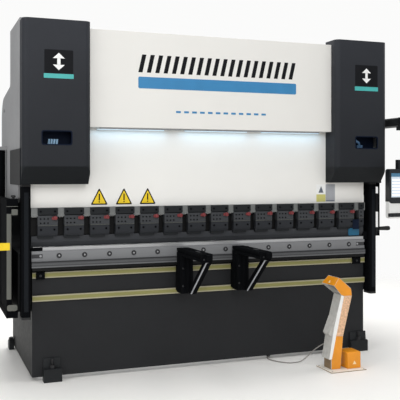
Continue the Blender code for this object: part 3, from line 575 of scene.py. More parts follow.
def cover_details():
    """Axis labels, lined windows and what is seen through them."""
    front = span("left_cylinder_cover")[0].y
    labels = {"left": ((-1.406, -1.193), (2.286, 2.497)), "right": ((1.240, 1.465), (2.293, 2.514))}
    windows = {"left": (-1.423, -1.202), "right": (1.244, 1.465)}
    for side, sign in SIDES:
        (left, right), (low, high) = labels[side]
        strip = low + (high - low) * 0.16
        middle = (left + right) / 2
        film, upper_film = (front - THIN, front + 0.0005), (front - 2 * THIN, front)
        Shape().prism(rounded((left, right), (strip + 0.004, high), 0.006), film, "XZ").piece(
            side + "_axis_label", "machine", "cover_paint", "ink", 0.0)
        Shape().prism(rounded((left - 0.004, right + 0.004), (low, strip), 0.004), film, "XZ").piece(
            side + "_axis_label_strip", "machine", "cover_paint", "teal", 0.0)
        arrow = Shape()
        centre = (strip + 0.004 + high) / 2
        for way in (-1, 1):
            tip = centre + way * 0.064
            arrow.prism([(middle - 0.044, tip - way * 0.040), (middle + 0.044, tip - way * 0.040),
                         (middle, tip)], upper_film, "XZ")
        arrow.box((middle - 0.012, middle + 0.012), upper_film, (centre - 0.026, centre + 0.026))
        arrow.piece(side + "_axis_label_arrow", "machine", "cover_paint", "label_white", 0.0)

        left, right = windows[side]
        gasket = Shape().prism(rounded((left - 0.004, right + 0.004), (1.792, 1.902), 0.018),
                               (front - 0.0012, front + 0.006), "XZ")
        hole = Shape().prism(rounded((left + 0.004, right - 0.004), (1.800, 1.894), 0.014),
                             (front - 0.02, front + 0.02), "XZ")
        # Dark film over the cover's lower outer side: painted shade on a face the lamps light.
        shaded_side = sorted((sign * 1.5686, sign * 1.5702))
        Shape().box(shaded_side, (-0.066, 0.564), (1.497, 1.768)).piece(
            side + "_cover_side_shade", "machine", "cover_paint", "rubber", 0.0005)
        gasket.piece(side + "_window_gasket", "machine", "cover_paint", "navy", 0.0005, less=hole)
        Shape().box((left - 0.03, right + 0.03), (front + 0.110, front + 0.114), (1.70, 1.99)).piece(
            side + "_window_backing", "machine", "hydraulic_paint", "navy", 0.0)
    hoses = [smooth_route([(x, front + 0.070, 1.74), (x + 0.002, front + 0.060, 1.80),
                           (x + 0.006, front + 0.066, 1.838)]) for x in (-1.366, -1.346, -1.326, -1.306)]
    line_piece("left_valve_hoses", "machine", "coil", hoses, 0.0085)
    elbow = smooth_route([(1.262, front + 0.060, 1.878), (1.285, front + 0.050, 1.858),
                          (1.310, front + 0.055, 1.842), (1.325, front + 0.070, 1.800), (1.326, front + 0.075, 1.75)])
    line_piece("right_valve_hose", "machine", "hose", [elbow], 0.011)
    coil = Shape().box((1.300, 1.350), (front + 0.060, front + 0.095), (1.780, 1.826))
    for k in range(4):
        coil.box((1.298, 1.352), (front + 0.057, front + 0.060), (1.784 + k * 0.011, 1.790 + k * 0.011))
    coil.piece("right_valve_coil", "machine", "hydraulic_paint", "hose", 0.002)


def panel_artwork():
    """Plain decoration of the front panel: leaning bars over a colour band and a dashed line."""
    front = span("front_panel")[0].y
    face = (front - THIN, front + 0.0005)
    bars, band, dash = Shape(), Shape(), Shape()
    count, pitch, lean = 20, 0.0690, 0.032
    for k in range(count):
        x = -0.666 + k * pitch
        bars.prism([(x, 2.372), (x + 0.034, 2.372), (x + 0.034 + lean, 2.512), (x + lean, 2.512)], face, "XZ")
    bars.piece("panel_bars", "machine", "white_paint", "ink", 0.0)
    band.prism(rounded((-0.666, 0.716), (2.247, 2.338), 0.012), face, "XZ")
    band.piece("panel_band", "machine", "white_paint", "blue", 0.0)
    for k in range(12):
        dash.box((-0.355 + k * 0.068, -0.315 + k * 0.068), face, (2.062, 2.078))
    dash.piece("panel_dashes", "machine", "white_paint", "blue", 0.0)


def ram_labels():
    """Three caution triangles and a notice, without any lettering."""
    plane = span("ram")[0].y
    low, high, half = 1.338, 1.470, 0.068
    triangles, inner, marks = Shape(), Shape(), Shape()
    for x in (-0.952, -0.754, -0.560):
        triangles.prism(round_corners([(x - half, low, 0.006), (x + half, low, 0.006), (x, high, 0.006)], 4),
                        (plane - THIN, plane + 0.0003), "XZ")
        inner.prism(round_corners([(x - half + 0.016, low + 0.010, 0.004), (x + half - 0.016, low + 0.010, 0.004),
                                   (x, high - 0.020, 0.004)], 4), (plane - 2 * THIN, plane), "XZ")
        marks.box((x - 0.005, x + 0.005), (plane - 3 * THIN, plane), (low + 0.034, high - 0.046))
        marks.box((x - 0.005, x + 0.005), (plane - 3 * THIN, plane), (low + 0.018, low + 0.027))
    triangles.piece("caution_borders", "ram", "white_paint", "ink", 0.0)
    inner.piece("caution_fields", "ram", "white_paint", "yellow", 0.0)
    marks.piece("caution_marks", "ram", "white_paint", "ink", 0.0)
    left, middle, right = 0.968, 1.060, 1.153
    face = (plane - THIN, plane + 0.0003)
    Shape().box((left, middle - 0.002), face, (1.400, 1.485)).piece(
        "notice_top", "ram", "white_paint", "label_white", 0.0)
    Shape().box((left, middle - 0.002), face, (1.334, 1.398)).piece(
        "notice_caution", "ram", "white_paint", "pale_yellow", 0.0)
    Shape().box((middle, right), face, (1.334, 1.485)).piece(
        "notice_table", "ram", "white_paint", "label_grey", 0.0)
    detail = Shape().prism([(left + 0.020, 1.412), (middle - 0.022, 1.412), ((left + middle) / 2, 1.470)],
                           (plane - 2 * THIN, plane), "XZ")
    detail.box((middle + 0.006, right - 0.008), (plane - 2 * THIN, plane), (1.340, 1.346))
    detail.piece("notice_lines", "ram", "white_paint", "motor", 0.0)


def work_light():
    """Lamps behind the panel's lower edge and the cool light they throw on the ram."""
    low, high = span("work_light")
    Shape().box((low.x, high.x), (-0.045, -0.005), (high.z - 0.012, high.z)).piece(
        "work_light_rail", "machine", "lamp_lens", "steel", 0.001, ("work_light",))
    for k, x in enumerate((-0.710, 0.010, 0.690), 1):
        Shape().prism(rounded((-0.039, -0.011), (low.z + 0.003, high.z - 0.0115), 0.003),
                      (x - 0.270, x + 0.270)).piece(f"work_light_lens_{k}", "machine", "lamp_lens", "lamp", 0.0)
        lamp = ORIGIN + Vector((x, -0.030, low.z - 0.001))
        area_light(f"work_glow_{k}", lamp, lamp + Vector((0.0, 0.030, -0.200)), 0.62, 0.20, (0.35, 0.70, 1.0), 0.02)


# ---- tooling ------------------------------------------------------------------
CLAMP_COUNT, CLAMP_PITCH, CLAMP_WIDTH = 15, 0.200, 0.150
CLAMP_ROW_OFFSET = 0.043


def clamp_left(index):
    return CLAMP_ROW_OFFSET + (index - 8) * CLAMP_PITCH - CLAMP_WIDTH / 2


def clamps():
    """Tool clamps: head, clamping block and jaw of each, with their screws and backing, and a black block under each as
    painted shadow.
    """
    end = span("clamp_row")[1].x
    nose = span("ram")[0].z
    Shape().box((-1.4795, end + 0.018), (0.0303, 0.0410), (1.110, 1.245)).piece(
        "clamp_backing", "ram", "clamp_black", "deep_black", 0.001, ("clamp_row",))
    Shape().box((-1.470, end + 0.018), (0.0570, 0.0840), (1.120, 1.244)).piece(
        "clamp_rear_jaw", "ram", "clamp_black", "black", 0.001)
    Shape().box((end - 0.018, end + 0.078), (0.0855, 0.0965), (1.062, 1.3200)).piece(
        "ram_end_guard", "ram", "clamp_black", "deep_black", 0.001)
    Shape().box((-1.4795, end + 0.018), (-0.014, 0.0399), (nose + 0.010, 1.3223)).piece(
        "nose_strip", "ram", "tool_steel", "nose", 0.0005)
    heads_and_shadows, blocks, jaws, trims, bolts = Shape(), Shape(), Shape(), Shape(), Shape()
    for index in range(1, CLAMP_COUNT + 1):
        left = clamp_left(index)
        right = min(left + CLAMP_WIDTH, end)
        heads_and_shadows.box((left, right), (-0.031, 0.029), (1.2700, 1.3220))
        heads_and_shadows.box((left + 0.004, right - 0.004), (-0.016, 0.028), (1.2520, 1.2800))
        # Black block under each clamp, short of its right side: painted shadow.
        heads_and_shadows.box((left + 0.002, max(left + 0.010, right - 0.030)), (-0.004, 0.020), (1.0920, 1.1120))
        blocks.box((left, right), (-0.025, 0.036), (1.1900, 1.2640))
        jaws.box((left + 0.002, right - 0.002), (-0.020, 0.034), (1.1700, 1.1950))
        jaws.prism([(-0.024, 1.1860), (-0.024, 1.1330), (-0.008, 1.1090), (0.029, 1.1090), (0.029, 1.1860)],
                   (left, right))
        trims.box((left + 0.001, right - 0.001), (-0.0252, -0.015), (1.1868, 1.1893))
        places = [(0.020, 1.296, 0.0070, -0.031), (0.128, 1.296, 0.0070, -0.031),
                  (0.024, 1.158, 0.0075, -0.024), (0.124, 1.158, 0.0075, -0.024)]
        places += [(dx, z, 0.0058, -0.025) for dx in (0.020, 0.048, 0.076) for z in (1.208, 1.240)]
        for dx, z, radius, y in places:
            if left + dx < right - 0.008:
                bolts.screw((left + dx, y, z), radius)
    heads_and_shadows.piece("clamp_heads_and_shadow_blocks", "ram", "clamp_black", "head_black", 0.0018)
    blocks.piece("clamp_blocks", "ram", "clamp_black", "clamp", 0.0018)
    # The jaws take the darker copy of the oxide as painted shade.
    jaws.piece("clamp_jaws", "ram", "clamp_black", "clamp_shaded", 0.0018)
    trims.piece("clamp_trims", "ram", "clamp_black", "stile", 0.0)
    bolts.piece("clamp_screws", "ram", "clamp_black", "matt_black", 0.0)


def clamp_levers():
    """Quick-release levers: round hub with a short flattened handle."""
    for index in range(1, CLAMP_COUNT):
        node = f"clamp_lever_{index:02d}"
        low, high = span(node)
        hub_x, hub_z = high.x - 0.013, (low.z + high.z) / 2
        lever = Shape().turned([(0.012, 0.0), (0.0130, -0.004), (0.0155, -0.007), (0.0155, -0.020),
                                (0.0135, -0.024), (0.0070, -0.0255)], (hub_x, high.y, hub_z), "Y", 32)
        outline = round_corners([(hub_x - 0.028, hub_z - 0.011, 0.007), (hub_x - 0.002, hub_z - 0.0145, 0.004),
                                 (hub_x - 0.002, hub_z + 0.0145, 0.004), (hub_x - 0.028, hub_z + 0.008, 0.007)], 5)
        lever.prism(outline, (high.y - 0.018, high.y - 0.007), "XZ")
        lever.piece(f"release_{index:02d}", node, "lever_red", "red", 0.0015, (node,))


def tools_and_holder():
    carry("upper_tool", "punch", 0.0008)
    carry("lower_die", "die", 0.0008)
    # Light and dark grey bands by height across the holder's ledge are painted highlights and painted shade.
    lit_and_shaded_greys = ((0.8697, 84), (0.8770, 112), (0.8840, 46), (0.8890, 96), (0.9050, 72), (0.9120, 32),
             (0.9160, 116), (0.9955, 128))
    steel = graded("holder_steel", [(z, srgb(grey, grey + 1, grey + 3)) for z, grey in lit_and_shaded_greys], 0.48, 5.0,
                   (0.12, 1, 9), 0.3)
    carry("die_holder", steel, 0.0012)
    left, right = span("die_holder")[0].x, span("die_holder")[1].x
    screws, seats, centres = Shape(), Shape(), Shape()
    for k in range(14):
        x = -1.268 + k * 0.196
        seats.turned([(0.0200, 0.0), (0.0200, -0.0012), (0.0165, -0.0012), (0.0165, 0.0)],
                     (x, 0.0002, 0.957), "Y", 28)
        screws.turned([(0.0185, 0.0), (0.0185, -0.0035), (0.0170, -0.0045), (0.0080, -0.0045),
                       (0.0080, -0.0005)], (x, 0.0, 0.957), "Y", 28)
        centres.turned([(0.0068, 0.0), (0.0068, -0.0030), (0.0050, -0.0038)], (x + 0.001, 0.0, 0.9575), "Y", 20)
    centres.piece("holder_screw_centres", "machine", "holder_steel", "steel", 0.0)
    seats.piece("holder_screw_seats", "machine", "holder_steel", "ink", 0.0)
    screws.piece("holder_screws", "machine", "holder_steel", "bolt", 0.0)
    floors = Shape().box((left + 0.0005, -1.395), (0.0085, 0.0110), (0.943, 0.971))
    floors.box((1.358, right - 0.0005), (0.0085, 0.0110), (0.943, 0.971))
    floors.piece("holder_slot_floors", "machine", "holder_steel", "bolt", 0.0)
    pins = Shape().turned([(0.009, 0.0), (0.009, -0.004)], (-1.407, 0.0085, 0.957), "Y", 20)
    pins.turned([(0.009, 0.0), (0.009, -0.004)], (1.371, 0.0085, 0.957), "Y", 20)
    pins.piece("holder_slot_pins", "machine", "holder_steel", "steel", 0.0005)
    lines = Shape().box((left + 0.002, right - 0.002), (-0.0148, -0.0135), (0.8890, 0.8915))
    lines.box((left + 0.002, right - 0.002), (-0.0006, 0.0010), (0.9150, 0.9170))
    lines.piece("holder_scribe_lines", "machine", "holder_steel", "bolt", 0.0)
    # Deep black strip under the holder's ledge: painted shadow.
    Shape().box((left + 0.005, right - 0.005), (-0.006, 0.0545), (0.846, 0.8695)).piece(
        "ledge_shadow_strip", "machine", "bed_paint", "deep_black", 0.001)
    # Matt black blocks past each end of the die fill the gaps there with painted shade.
    stop = Shape().box((left + 0.001, -1.3915), (0.018, 0.082), (0.9956, 1.0180))
    stop.box((1.4375, 1.4780), (0.018, 0.082), (0.9956, 1.0600))
    stop.piece("die_end_shade_blocks", "machine", "die_steel", "matt_black", 0.001)
    tag = Shape().prism(rounded((1.284, 1.392), (1.032, 1.098), 0.006), (0.012, 0.019), "XZ")
    tag.piece("tool_safety_clip", "ram", "tool_steel", "tag_blue", 0.001)
    strap = Shape().prism(rounded((1.303, 1.364), (1.090, 1.176), 0.004), (-0.0300, -0.0262), "XZ")
    strap.piece("tool_clip_strap", "ram", "tool_steel", "navy", 0.0008)


# ---- rails and support arms ---------------------------------------------------
def rails():
    for node in ("upper_support_rail", "lower_support_rail"):
        low, high = span(node)
        top = low.z + 0.0455 if node == "lower_support_rail" else high.z - 0.004
        core, rim = srgb(140, 137, 84), srgb(172, 166, 140)
        heights = [top - 0.045 + part * 0.045 for part in (0.0, 0.14, 0.24, 0.76, 0.86, 1.0)]
        stops = list(zip(heights, (rim, rim, core, core, rim, rim)))
        carry(node, graded(node + "_paint", stops, 0.45, 14.0, (0.3, 1, 1)), 0.001)
    blocks, knobs = Shape(), Shape()
    top = span("upper_support_rail")[1].z
    for x in ((-1.438, -1.372), (1.332, 1.411)):
        blocks.box(x, (0.0165, 0.0345), (top - 0.056, top + 0.001))
        knobs.screw(((x[0] + x[1]) / 2, 0.0165, top - 0.028), 0.009)
    blocks.piece("rail_end_stops", "machine", "rail_olive", "matt_black", 0.0015)
    knobs.piece("rail_stop_screws", "machine", "rail_olive", "bolt", 0.0)


def slotted(across, height, mouth=0.008, room=0.016, deep=0.011):
    """Profile section with a T-slot in its top and a groove in each side."""
    middle = sum(across) / 2
    low, high = height
    left, right = across
    centre = (low + high) / 2
    return [(left, low), (right, low), (right, centre - mouth / 2), (right - 0.006, centre - mouth / 2),
            (right - 0.006, centre + mouth / 2), (right, centre + mouth / 2), (right, high),
            (middle + mouth / 2, high), (middle + mouth / 2, high - 0.004), (middle + room / 2, high - 0.004),
            (middle + room / 2, high - deep), (middle - room / 2, high - deep),
            (middle - room / 2, high - 0.004), (middle - mouth / 2, high - 0.004), (middle - mouth / 2, high),
            (left, high), (left, centre + mouth / 2), (left + 0.006, centre + mouth / 2),
            (left + 0.006, centre - mouth / 2), (left, centre - mouth / 2)]


def support_arm(node):
    """Sheet support: slotted beam, ribbed post, channel brace with a grey line as painted highlight on its front edge,
    end stop.
    """
    low, high = span(node)
    left, right = low.x, low.x + 0.100
    beam_low, beam_high = 0.930, 0.985
    front, rear, foot = -0.130, -0.020, low.z
    Shape().prism(slotted((left, right), (beam_low, beam_high)), (low.y + 0.058, rear), "XZ").piece(
        node + "_beam", node, "arm_black", "matt_black", 0.001, (node,))
    groove = 0.006
    plan = [(left, front), (left + 0.028, front), (left + 0.028, front + groove), (left + 0.046, front + groove),
            (left + 0.046, front), (right - 0.034, front), (right - 0.034, front + groove),
            (right - 0.018, front + groove), (right - 0.018, front), (right, front), (right, rear), (left, rear)]
    for y in (rear - 0.022, rear - 0.060):
        plan += [(left, y), (left + groove, y), (left + groove, y - 0.016), (left, y - 0.016)]
    post = Shape().prism(plan, (foot, beam_low + 0.001), "XY")
    post.box((left + 0.010, right - 0.010), (-0.028, 0.0345), (foot + 0.004, 0.845))
    post.piece(node + "_post", node, "arm_black", "matt_black", 0.0015)
    brace_x = (left + 0.067, right + 0.014)
    outer = [(-0.458, beam_low + 0.002), (-0.520, beam_low + 0.002), (-0.165, foot), (-0.128, foot),
             (-0.128, foot + 0.032)]
    brace = Shape()
    for x in (brace_x[0], brace_x[1] - 0.005):
        brace.prism(outer, (x, x + 0.005))
    brace.prism([(-0.515, beam_low + 0.002), (-0.520, beam_low + 0.002), (-0.165, foot), (-0.160, foot)], brace_x)
    brace.piece(node + "_brace", node, "arm_black", "matt_black", 0.0008)
    # Grey line along the brace's front edge: painted highlight.
    highlight_x = brace_x[0] + 0.003
    line_piece(node + "_brace_highlight", node, "label_grey",
               [[(highlight_x, -0.5135, beam_low - 0.004), (highlight_x, -0.171, foot + 0.004)]], 0.0055)
    pin = Shape().turned([(0.0125, -0.008), (0.0125, 0.008)], (highlight_x, -0.512, beam_low - 0.003), "X", 24)
    pin.piece(node + "_brace_pin", node, "arm_black", "label_grey", 0.001)
    stop = Shape()
    stop.box((left, right - 0.016), (low.y + 0.034, low.y + 0.058), (beam_low - 0.006, beam_high + 0.003))
    stop.box((left + 0.034, right - 0.022), (low.y, low.y + 0.034), (beam_low + 0.010, beam_high - 0.002))
    stop.piece(node + "_end_stop", node, "arm_black", "matt_black", 0.003)
    nuts = Shape().box((left + 0.040, left + 0.060), (-0.420, -0.340), (beam_high, beam_high + 0.003))
    nuts.piece(node + "_slot_nut", node, "arm_black", "bolt", 0.0008)
    screws = Shape()
    for x in (left + 0.022, right - 0.022):
        screws.screw((x, low.y + 0.034, beam_low + 0.018), 0.006)
    for z in (foot + 0.060, foot + 0.200):
        screws.screw((left + 0.014, front, z), 0.007)
    screws.piece(node + "_screws", node, "arm_black", "bolt", 0.0)


# ---- guards and light curtains ------------------------------------------------
def light_curtain(side, sign):
    node = side + "_light_curtain"
    low, high = span(node)
    middle, half = (low.x + high.x) / 2, (high.x - low.x) / 2
    body = round_corners([(middle - half, -0.024, 0.020), (middle + half, -0.024, 0.020),
                          (middle + half, 0.080, 0.004), (middle - half, 0.080, 0.004)], 8)
    Shape().prism(body, (low.z + 0.018, high.z - 0.016), "XY").piece(
        side + "_curtain_profile", "machine", "curtain_black", "matt_black", 0.001, (node,))
    caps = Shape()
    cap = round_corners([(middle - half - 0.0005, -0.0245, 0.020), (middle + half + 0.0005, -0.0245, 0.020),
                         (middle + half + 0.0005, 0.0805, 0.004), (middle - half - 0.0005, 0.0805, 0.004)], 8)
    caps.prism(cap, (low.z, low.z + 0.018), "XY")
    caps.prism(cap, (high.z - 0.016, high.z), "XY")
    caps.piece(side + "_curtain_caps", "machine", "curtain_black", "rubber", 0.002)
    Shape().box((middle - 0.016, middle + 0.016), (-0.0246, -0.0225), (low.z + 0.060, high.z - 0.060)).piece(
        side + "_curtain_window", "machine", "curtain_black", "curtain_glass", 0.0005)
    holders = Shape()
    for z in (0.560, 0.880):
        holders.box((middle - 0.030, middle + 0.030), (0.080, 0.0995), (z, z + 0.060))
        holders.box((middle - 0.006, middle + 0.006), (0.076, 0.0995), (z - 0.010, z + 0.070))
    holders.piece(side + "_curtain_holders", "machine", "curtain_black", "steel", 0.0015)


def left_guard():
    node = "left_side_guard"
    hinge_x, hinge_y = -1.620, 0.900
    outer, inner = -1.655, -1.615
    low, high = 0.498, 1.391
    frame_bars = Shape()
    frame_bars.turned([(0.044, 0.480), (0.048, 0.484), (0.048, 1.774), (0.044, 1.780)],
                      (hinge_x, hinge_y, 0.0), "Z", 40)
    frame_bars.box((outer, inner), (0.030, hinge_y), (high - 0.047, high))
    frame_bars.box((outer, inner), (0.030, hinge_y), (low, low + 0.051))
    frame_bars.box((outer, inner), (0.480, 0.520), (low + 0.010, high - 0.010))
    for z in ((low, low + 0.051), (high - 0.047, high)):
        frame_bars.box((inner - 0.002, -1.570), (0.030, 0.080), z)
    frame_bars.piece("left_guard_frame", node, "guard_black", "matt_black", 0.003, (node,))
    Shape().box((outer + 0.004, outer + 0.012), (0.066, hinge_y - 0.020), (low + 0.045, high - 0.040)).piece(
        "left_guard_sheet", node, "guard_black", "matt_black", 0.001)
    Shape().prism(rounded((outer, inner), (0.0295, 0.070), 0.008), (low + 0.045, high - 0.044), "XY").piece(
        "left_guard_stile_core", node, "guard_black", "matt_black", 0.001)
    stile = Shape().prism(rounded((outer + 0.001, inner - 0.003), (0.027, 0.060), 0.007), (0.640, 1.280), "XY")
    stile.box((outer - 0.001, -1.571), (0.0270, 0.0285), (high - 0.058, high - 0.054))
    stile.piece("left_guard_stile", node, "guard_black", "stile", 0.001)
    brackets = Shape()
    brackets.prism(rounded((inner - 0.004, -1.572), (1.270, 1.314), 0.006), (0.027, 0.037), "XZ")
    brackets.prism(rounded((outer + 0.004, -1.576), (0.552, 0.598), 0.016), (0.026, 0.034), "XZ")
    brackets.piece("left_guard_brackets", node, "guard_black", "stile", 0.002)
    tag = Shape().prism(rounded((outer - 0.050, outer + 0.024), (1.008, 1.064), 0.004), (0.0248, 0.0262), "XZ")
    tag.box((outer + 0.002, outer + 0.022), (0.0255, 0.030), (1.012, 1.060))
    tag.piece("left_guard_tag", node, "guard_black", "yellow", 0.0)
    knobs = Shape()
    for y in (0.050, 0.110):
        knobs.turned([(0.006, 0.0), (0.006, 0.010), (0.014, 0.012), (0.015, 0.022), (0.011, 0.027)],
                     (-1.600, y, high), "Z", 24)
    knobs.box((-1.614, -1.571), (0.036, 0.124), (high - 0.004, high + 0.002))
    knobs.piece("left_guard_knobs", node, "guard_black", "rubber", 0.001)


def right_guard():
    node = "right_side_guard"
    hinge_x, hinge_y = 1.609, 0.660
    inner, outer = 1.598, 1.620
    low, high = 1.020, 1.495
    bars = Shape()
    bars.turned([(0.016, 0.996), (0.018, 0.998), (0.018, 1.517), (0.016, 1.519)], (hinge_x, hinge_y, 0.0), "Z", 32)
    bars.box((inner, outer), (0.030, hinge_y), (high - 0.035, high))
    bars.box((inner, outer), (0.030, hinge_y), (low, low + 0.035))
    bars.box((outer - 0.011, outer), (0.030, 0.042), (low + 0.010, high - 0.010))
    bars.piece("right_guard_frame", node, "guard_black", "matt_black", 0.003, (node,))
    Shape().box((outer - 0.009, outer - 0.003), (0.040, hinge_y - 0.010), (low + 0.030, high - 0.030)).piece(
        "right_guard_sheet", node, "guard_black", "clear", 0.001)
    latch = Shape().prism(rounded((1.5705, outer), (1.235, 1.400), 0.006), (0.035, 0.085), "XZ")
    latch.prism(rounded((1.5705, outer), (1.020, 1.095), 0.006), (0.032, 0.075), "XZ")
    latch.piece("right_guard_latch", node, "guard_black", "black", 0.002)
    grip = Shape().turned([(0.008, 0.0), (0.010, 0.006), (0.0165, 0.012), (0.0185, 0.060), (0.0200, 0.096),
                           (0.017, 0.110), (0.006, 0.114)], (1.610, 0.030, 1.085), "X", 32)
    grip.piece("right_guard_grip", node, "guard_black", "rubber", 0.0)


# ---- control ------------------------------------------------------------------
def control():
    px, py = 1.700, 0.250
    fx, fy = 1.700, -0.250
    arm = Shape()
    arm.prism(rounded((px - 0.075, px + 0.075), (1.992, 2.067), 0.018), (fy - 0.010, py + 0.030), "XZ")
    arm.turned([(0.056, 1.955), (0.060, 1.959), (0.060, 2.099), (0.054, 2.105)], (px, py, 0.0), "Z", 40)
    elbow = round_corners([(fy - 0.048, 1.955), (fy - 0.048, 2.067, 0.050), (fy + 0.010, 2.067),
                           (fy + 0.010, 1.990), (fy + 0.040, 1.990), (fy + 0.040, 1.955)], 8)
    arm.prism(elbow, (px - 0.075, px + 0.075))
    arm.piece("swing_arm", "control_arm", "swing_arm_black", "black", 0.004, ("control_arm",))
    post = Shape().turned([(0.036, 1.6995), (0.036, 1.712), (0.0315, 1.718), (0.0315, 1.940),
                           (0.040, 1.946), (0.040, 1.956)], (fx, fy, 0.0), "Z", 40)
    post.piece("pendant_post", "control_arm", "swing_arm_black", "cabinet", 0.001)

    left, right = fx - 0.195, fx + 0.195
    face = fy - 0.035
    body = Shape().prism(rounded((left, right), (1.193, 1.6185), 0.022), (face, fy + 0.025), "XZ")
    body.piece("panel_housing_shell", "control_panel", "control_housing", "housing", 0.005, ("control_panel",))
    neck = Shape().prism(rounded((fx - 0.095, fx + 0.095), (fy - 0.030, fy + 0.030), 0.012), (1.6120, 1.6990), "XY")
    neck.piece("panel_neck", "control_panel", "control_housing", "black", 0.004)
    bezel = Shape().prism(rounded((left - 0.0012, right + 0.0012), (1.323, 1.6195), 0.022),
                          (face - 0.005, fy + 0.0255), "XZ")
    hole = Shape().prism(rounded((left + 0.016, right - 0.036), (1.375, 1.582), 0.003), (face - 0.02, face - 0.002), "XZ")
    bezel.piece("panel_bezel_frame", "control_panel", "control_housing", "bezel", 0.001, less=hole)
    x = (left + 0.016, right - 0.036)
    y = (face - 0.0032, face - 0.0010)
    Shape().box(x, y, (1.375, 1.582)).piece("panel_screen", "control_panel", "control_housing", "screen", 0.0)
    front = (y[0] - 0.0004, y[0] + 0.0004)
    Shape().box(x, front, (1.552, 1.582)).piece("screen_header_band", "control_panel", "control_housing",
                                                "screen_head", 0.0)
    rows = Shape()
    for k in range(6):
        rows.box((x[0] + 0.010, x[1] - 0.090), front, (1.387 + k * 0.026, 1.404 + k * 0.026))
    for k in range(4):
        rows.box((x[1] - 0.078, x[1] - 0.010), front, (1.389 + k * 0.039, 1.419 + k * 0.039))
    rows.piece("screen_rows", "control_panel", "control_housing", "screen_row", 0.0)
    strip = Shape().prism(rounded((left - 0.001, right - 0.070), (1.207, 1.240), 0.006),
                          (face - 0.004, face + 0.020), "XZ")
    strip.piece("panel_key_strip", "control_panel", "control_housing", "bezel", 0.001)
    keys = Shape()
    for k in range(7):
        keys.turned([(0.0085, 0.0), (0.0085, -0.004), (0.0070, -0.006)], (left + 0.035 + k * 0.040, face - 0.004, 1.2235),
                    "Y", 20)
    keys.piece("panel_keys", "control_panel", "control_housing", "rubber", 0.0)
    dial = Shape().turned([(0.020, 0.0), (0.020, -0.010), (0.017, -0.022), (0.012, -0.024)],
                          (right - 0.085, face, 1.285), "Y", 32)
    dial.piece("panel_handwheel", "control_panel", "control_housing", "rubber", 0.0)
    ring = Shape().turned([(0.0125, 0.0), (0.030, 0.0), (0.030, -0.0025), (0.028, -0.004), (0.0125, -0.004)],
                          (1.855, face, 1.255), "Y", 36)
    ring.piece("estop_collar", "control_panel", "control_housing", "yellow", 0.0)
    stop = Shape().turned([(0.0080, 0.010), (0.0080, -0.008), (0.0150, -0.009), (0.0185, -0.013), (0.0185, -0.020),
                           (0.0160, -0.0245), (0.0060, -0.0255)], (1.855, face, 1.255), "Y", 36)
    stop.piece("estop_button", "control_estop", "estop_red", "estop_red", 0.0, ("control_estop",))


# ---- pedal console ------------------------------------------------------------
COLUMN_OUTLINE = [
    (0.826, 0.0083), (0.912, 0.0083), (0.935, 0.269, 0.250), (1.018, 0.592, 0.050), (1.010, 0.650, 0.030),
    (0.898, 0.743), (0.855, 0.675), (0.918, 0.601), (0.851, 0.346, 0.300), (0.806, 0.090), (0.826, 0.086)]
HEAD_END = (Vector((0.855, 0.675)), Vector((0.898, 0.743)))
HEAD_ROOT = ((0.918, 0.601), (0.978, 0.6767))
HEAD_REAR = (-0.262, -0.302)


def loft(shape, first, second):
    """Closed solid between two outlines of the same number of points."""
    rings = [[shape.bm.verts.new(point) for point in outline] for outline in (first, second)]
    count = len(first)
    faces = [shape.bm.faces.new(rings[0]), shape.bm.faces.new(rings[1][::-1])]
    for k in range(count):
        faces.append(shape.bm.faces.new((rings[0][k], rings[1][k], rings[1][(k + 1) % count],
                                         rings[0][(k + 1) % count])))
    bmesh.ops.recalc_face_normals(shape.bm, faces=faces)
    return shape


def console_films(front):
    """Colour fields of the column's front face, edge band first."""
    films = {
        "edge": ("label_white", [(0.8085, 0.092), (0.832, 0.092), (0.871, 0.274), (0.888, 0.343),
                                 (0.943, 0.589), (0.919, 0.597), (0.853, 0.346)]),
        "foot": ("orange", [(0.829, 0.010), (0.910, 0.010), (0.9335, 0.269), (0.871, 0.274), (0.832, 0.092),
                            (0.829, 0.086)]),
        "middle": ("salmon", [(0.871, 0.276), (0.934, 0.271), (1.0155, 0.588), (0.944, 0.589), (0.888, 0.343)]),
        "head": ("orange", [(0.944, 0.592), (1.0165, 0.592), (1.008, 0.647), (0.8985, 0.7405),
                            (0.8570, 0.676), (0.9185, 0.603)])}
    for name, (paint, outline) in films.items():
        Shape().prism(outline, (front - THIN, front + 0.0005), "XZ").piece(
            "console_" + name + "_film", "machine", "console_paint", paint, 0.0)


def console_end(front):
    """Orange film with a small white mark on the sloping end of the head."""
    along = (HEAD_END[1] - HEAD_END[0]).normalized()
    out = Vector((-along.y, along.x))

    def corner(part, y, lift):
        place = HEAD_END[0].lerp(HEAD_END[1], part) + out * lift
        return (place.x, y, place.y)

    def layer(outline, lift):
        return [corner(part, y, lift) for part, y in outline]

    film = [(0.05, front + 0.002), (0.95, front + 0.002), (0.95, HEAD_REAR[1] - 0.004), (0.05, HEAD_REAR[0] - 0.006)]
    middle = (front + HEAD_REAR[0]) / 2 - 0.010
    mark = [(0.22, middle - 0.010), (0.22, middle + 0.022), (0.52, middle + 0.006)]
    loft(Shape(), layer(film, -0.0005), layer(film, THIN)).piece(
        "console_end_film", "machine", "console_paint", "orange", 0.0)
    loft(Shape(), layer(mark, 0.0), layer(mark, 2 * THIN)).piece(
        "console_end_mark", "machine", "console_paint", "mark_cream", 0.0)


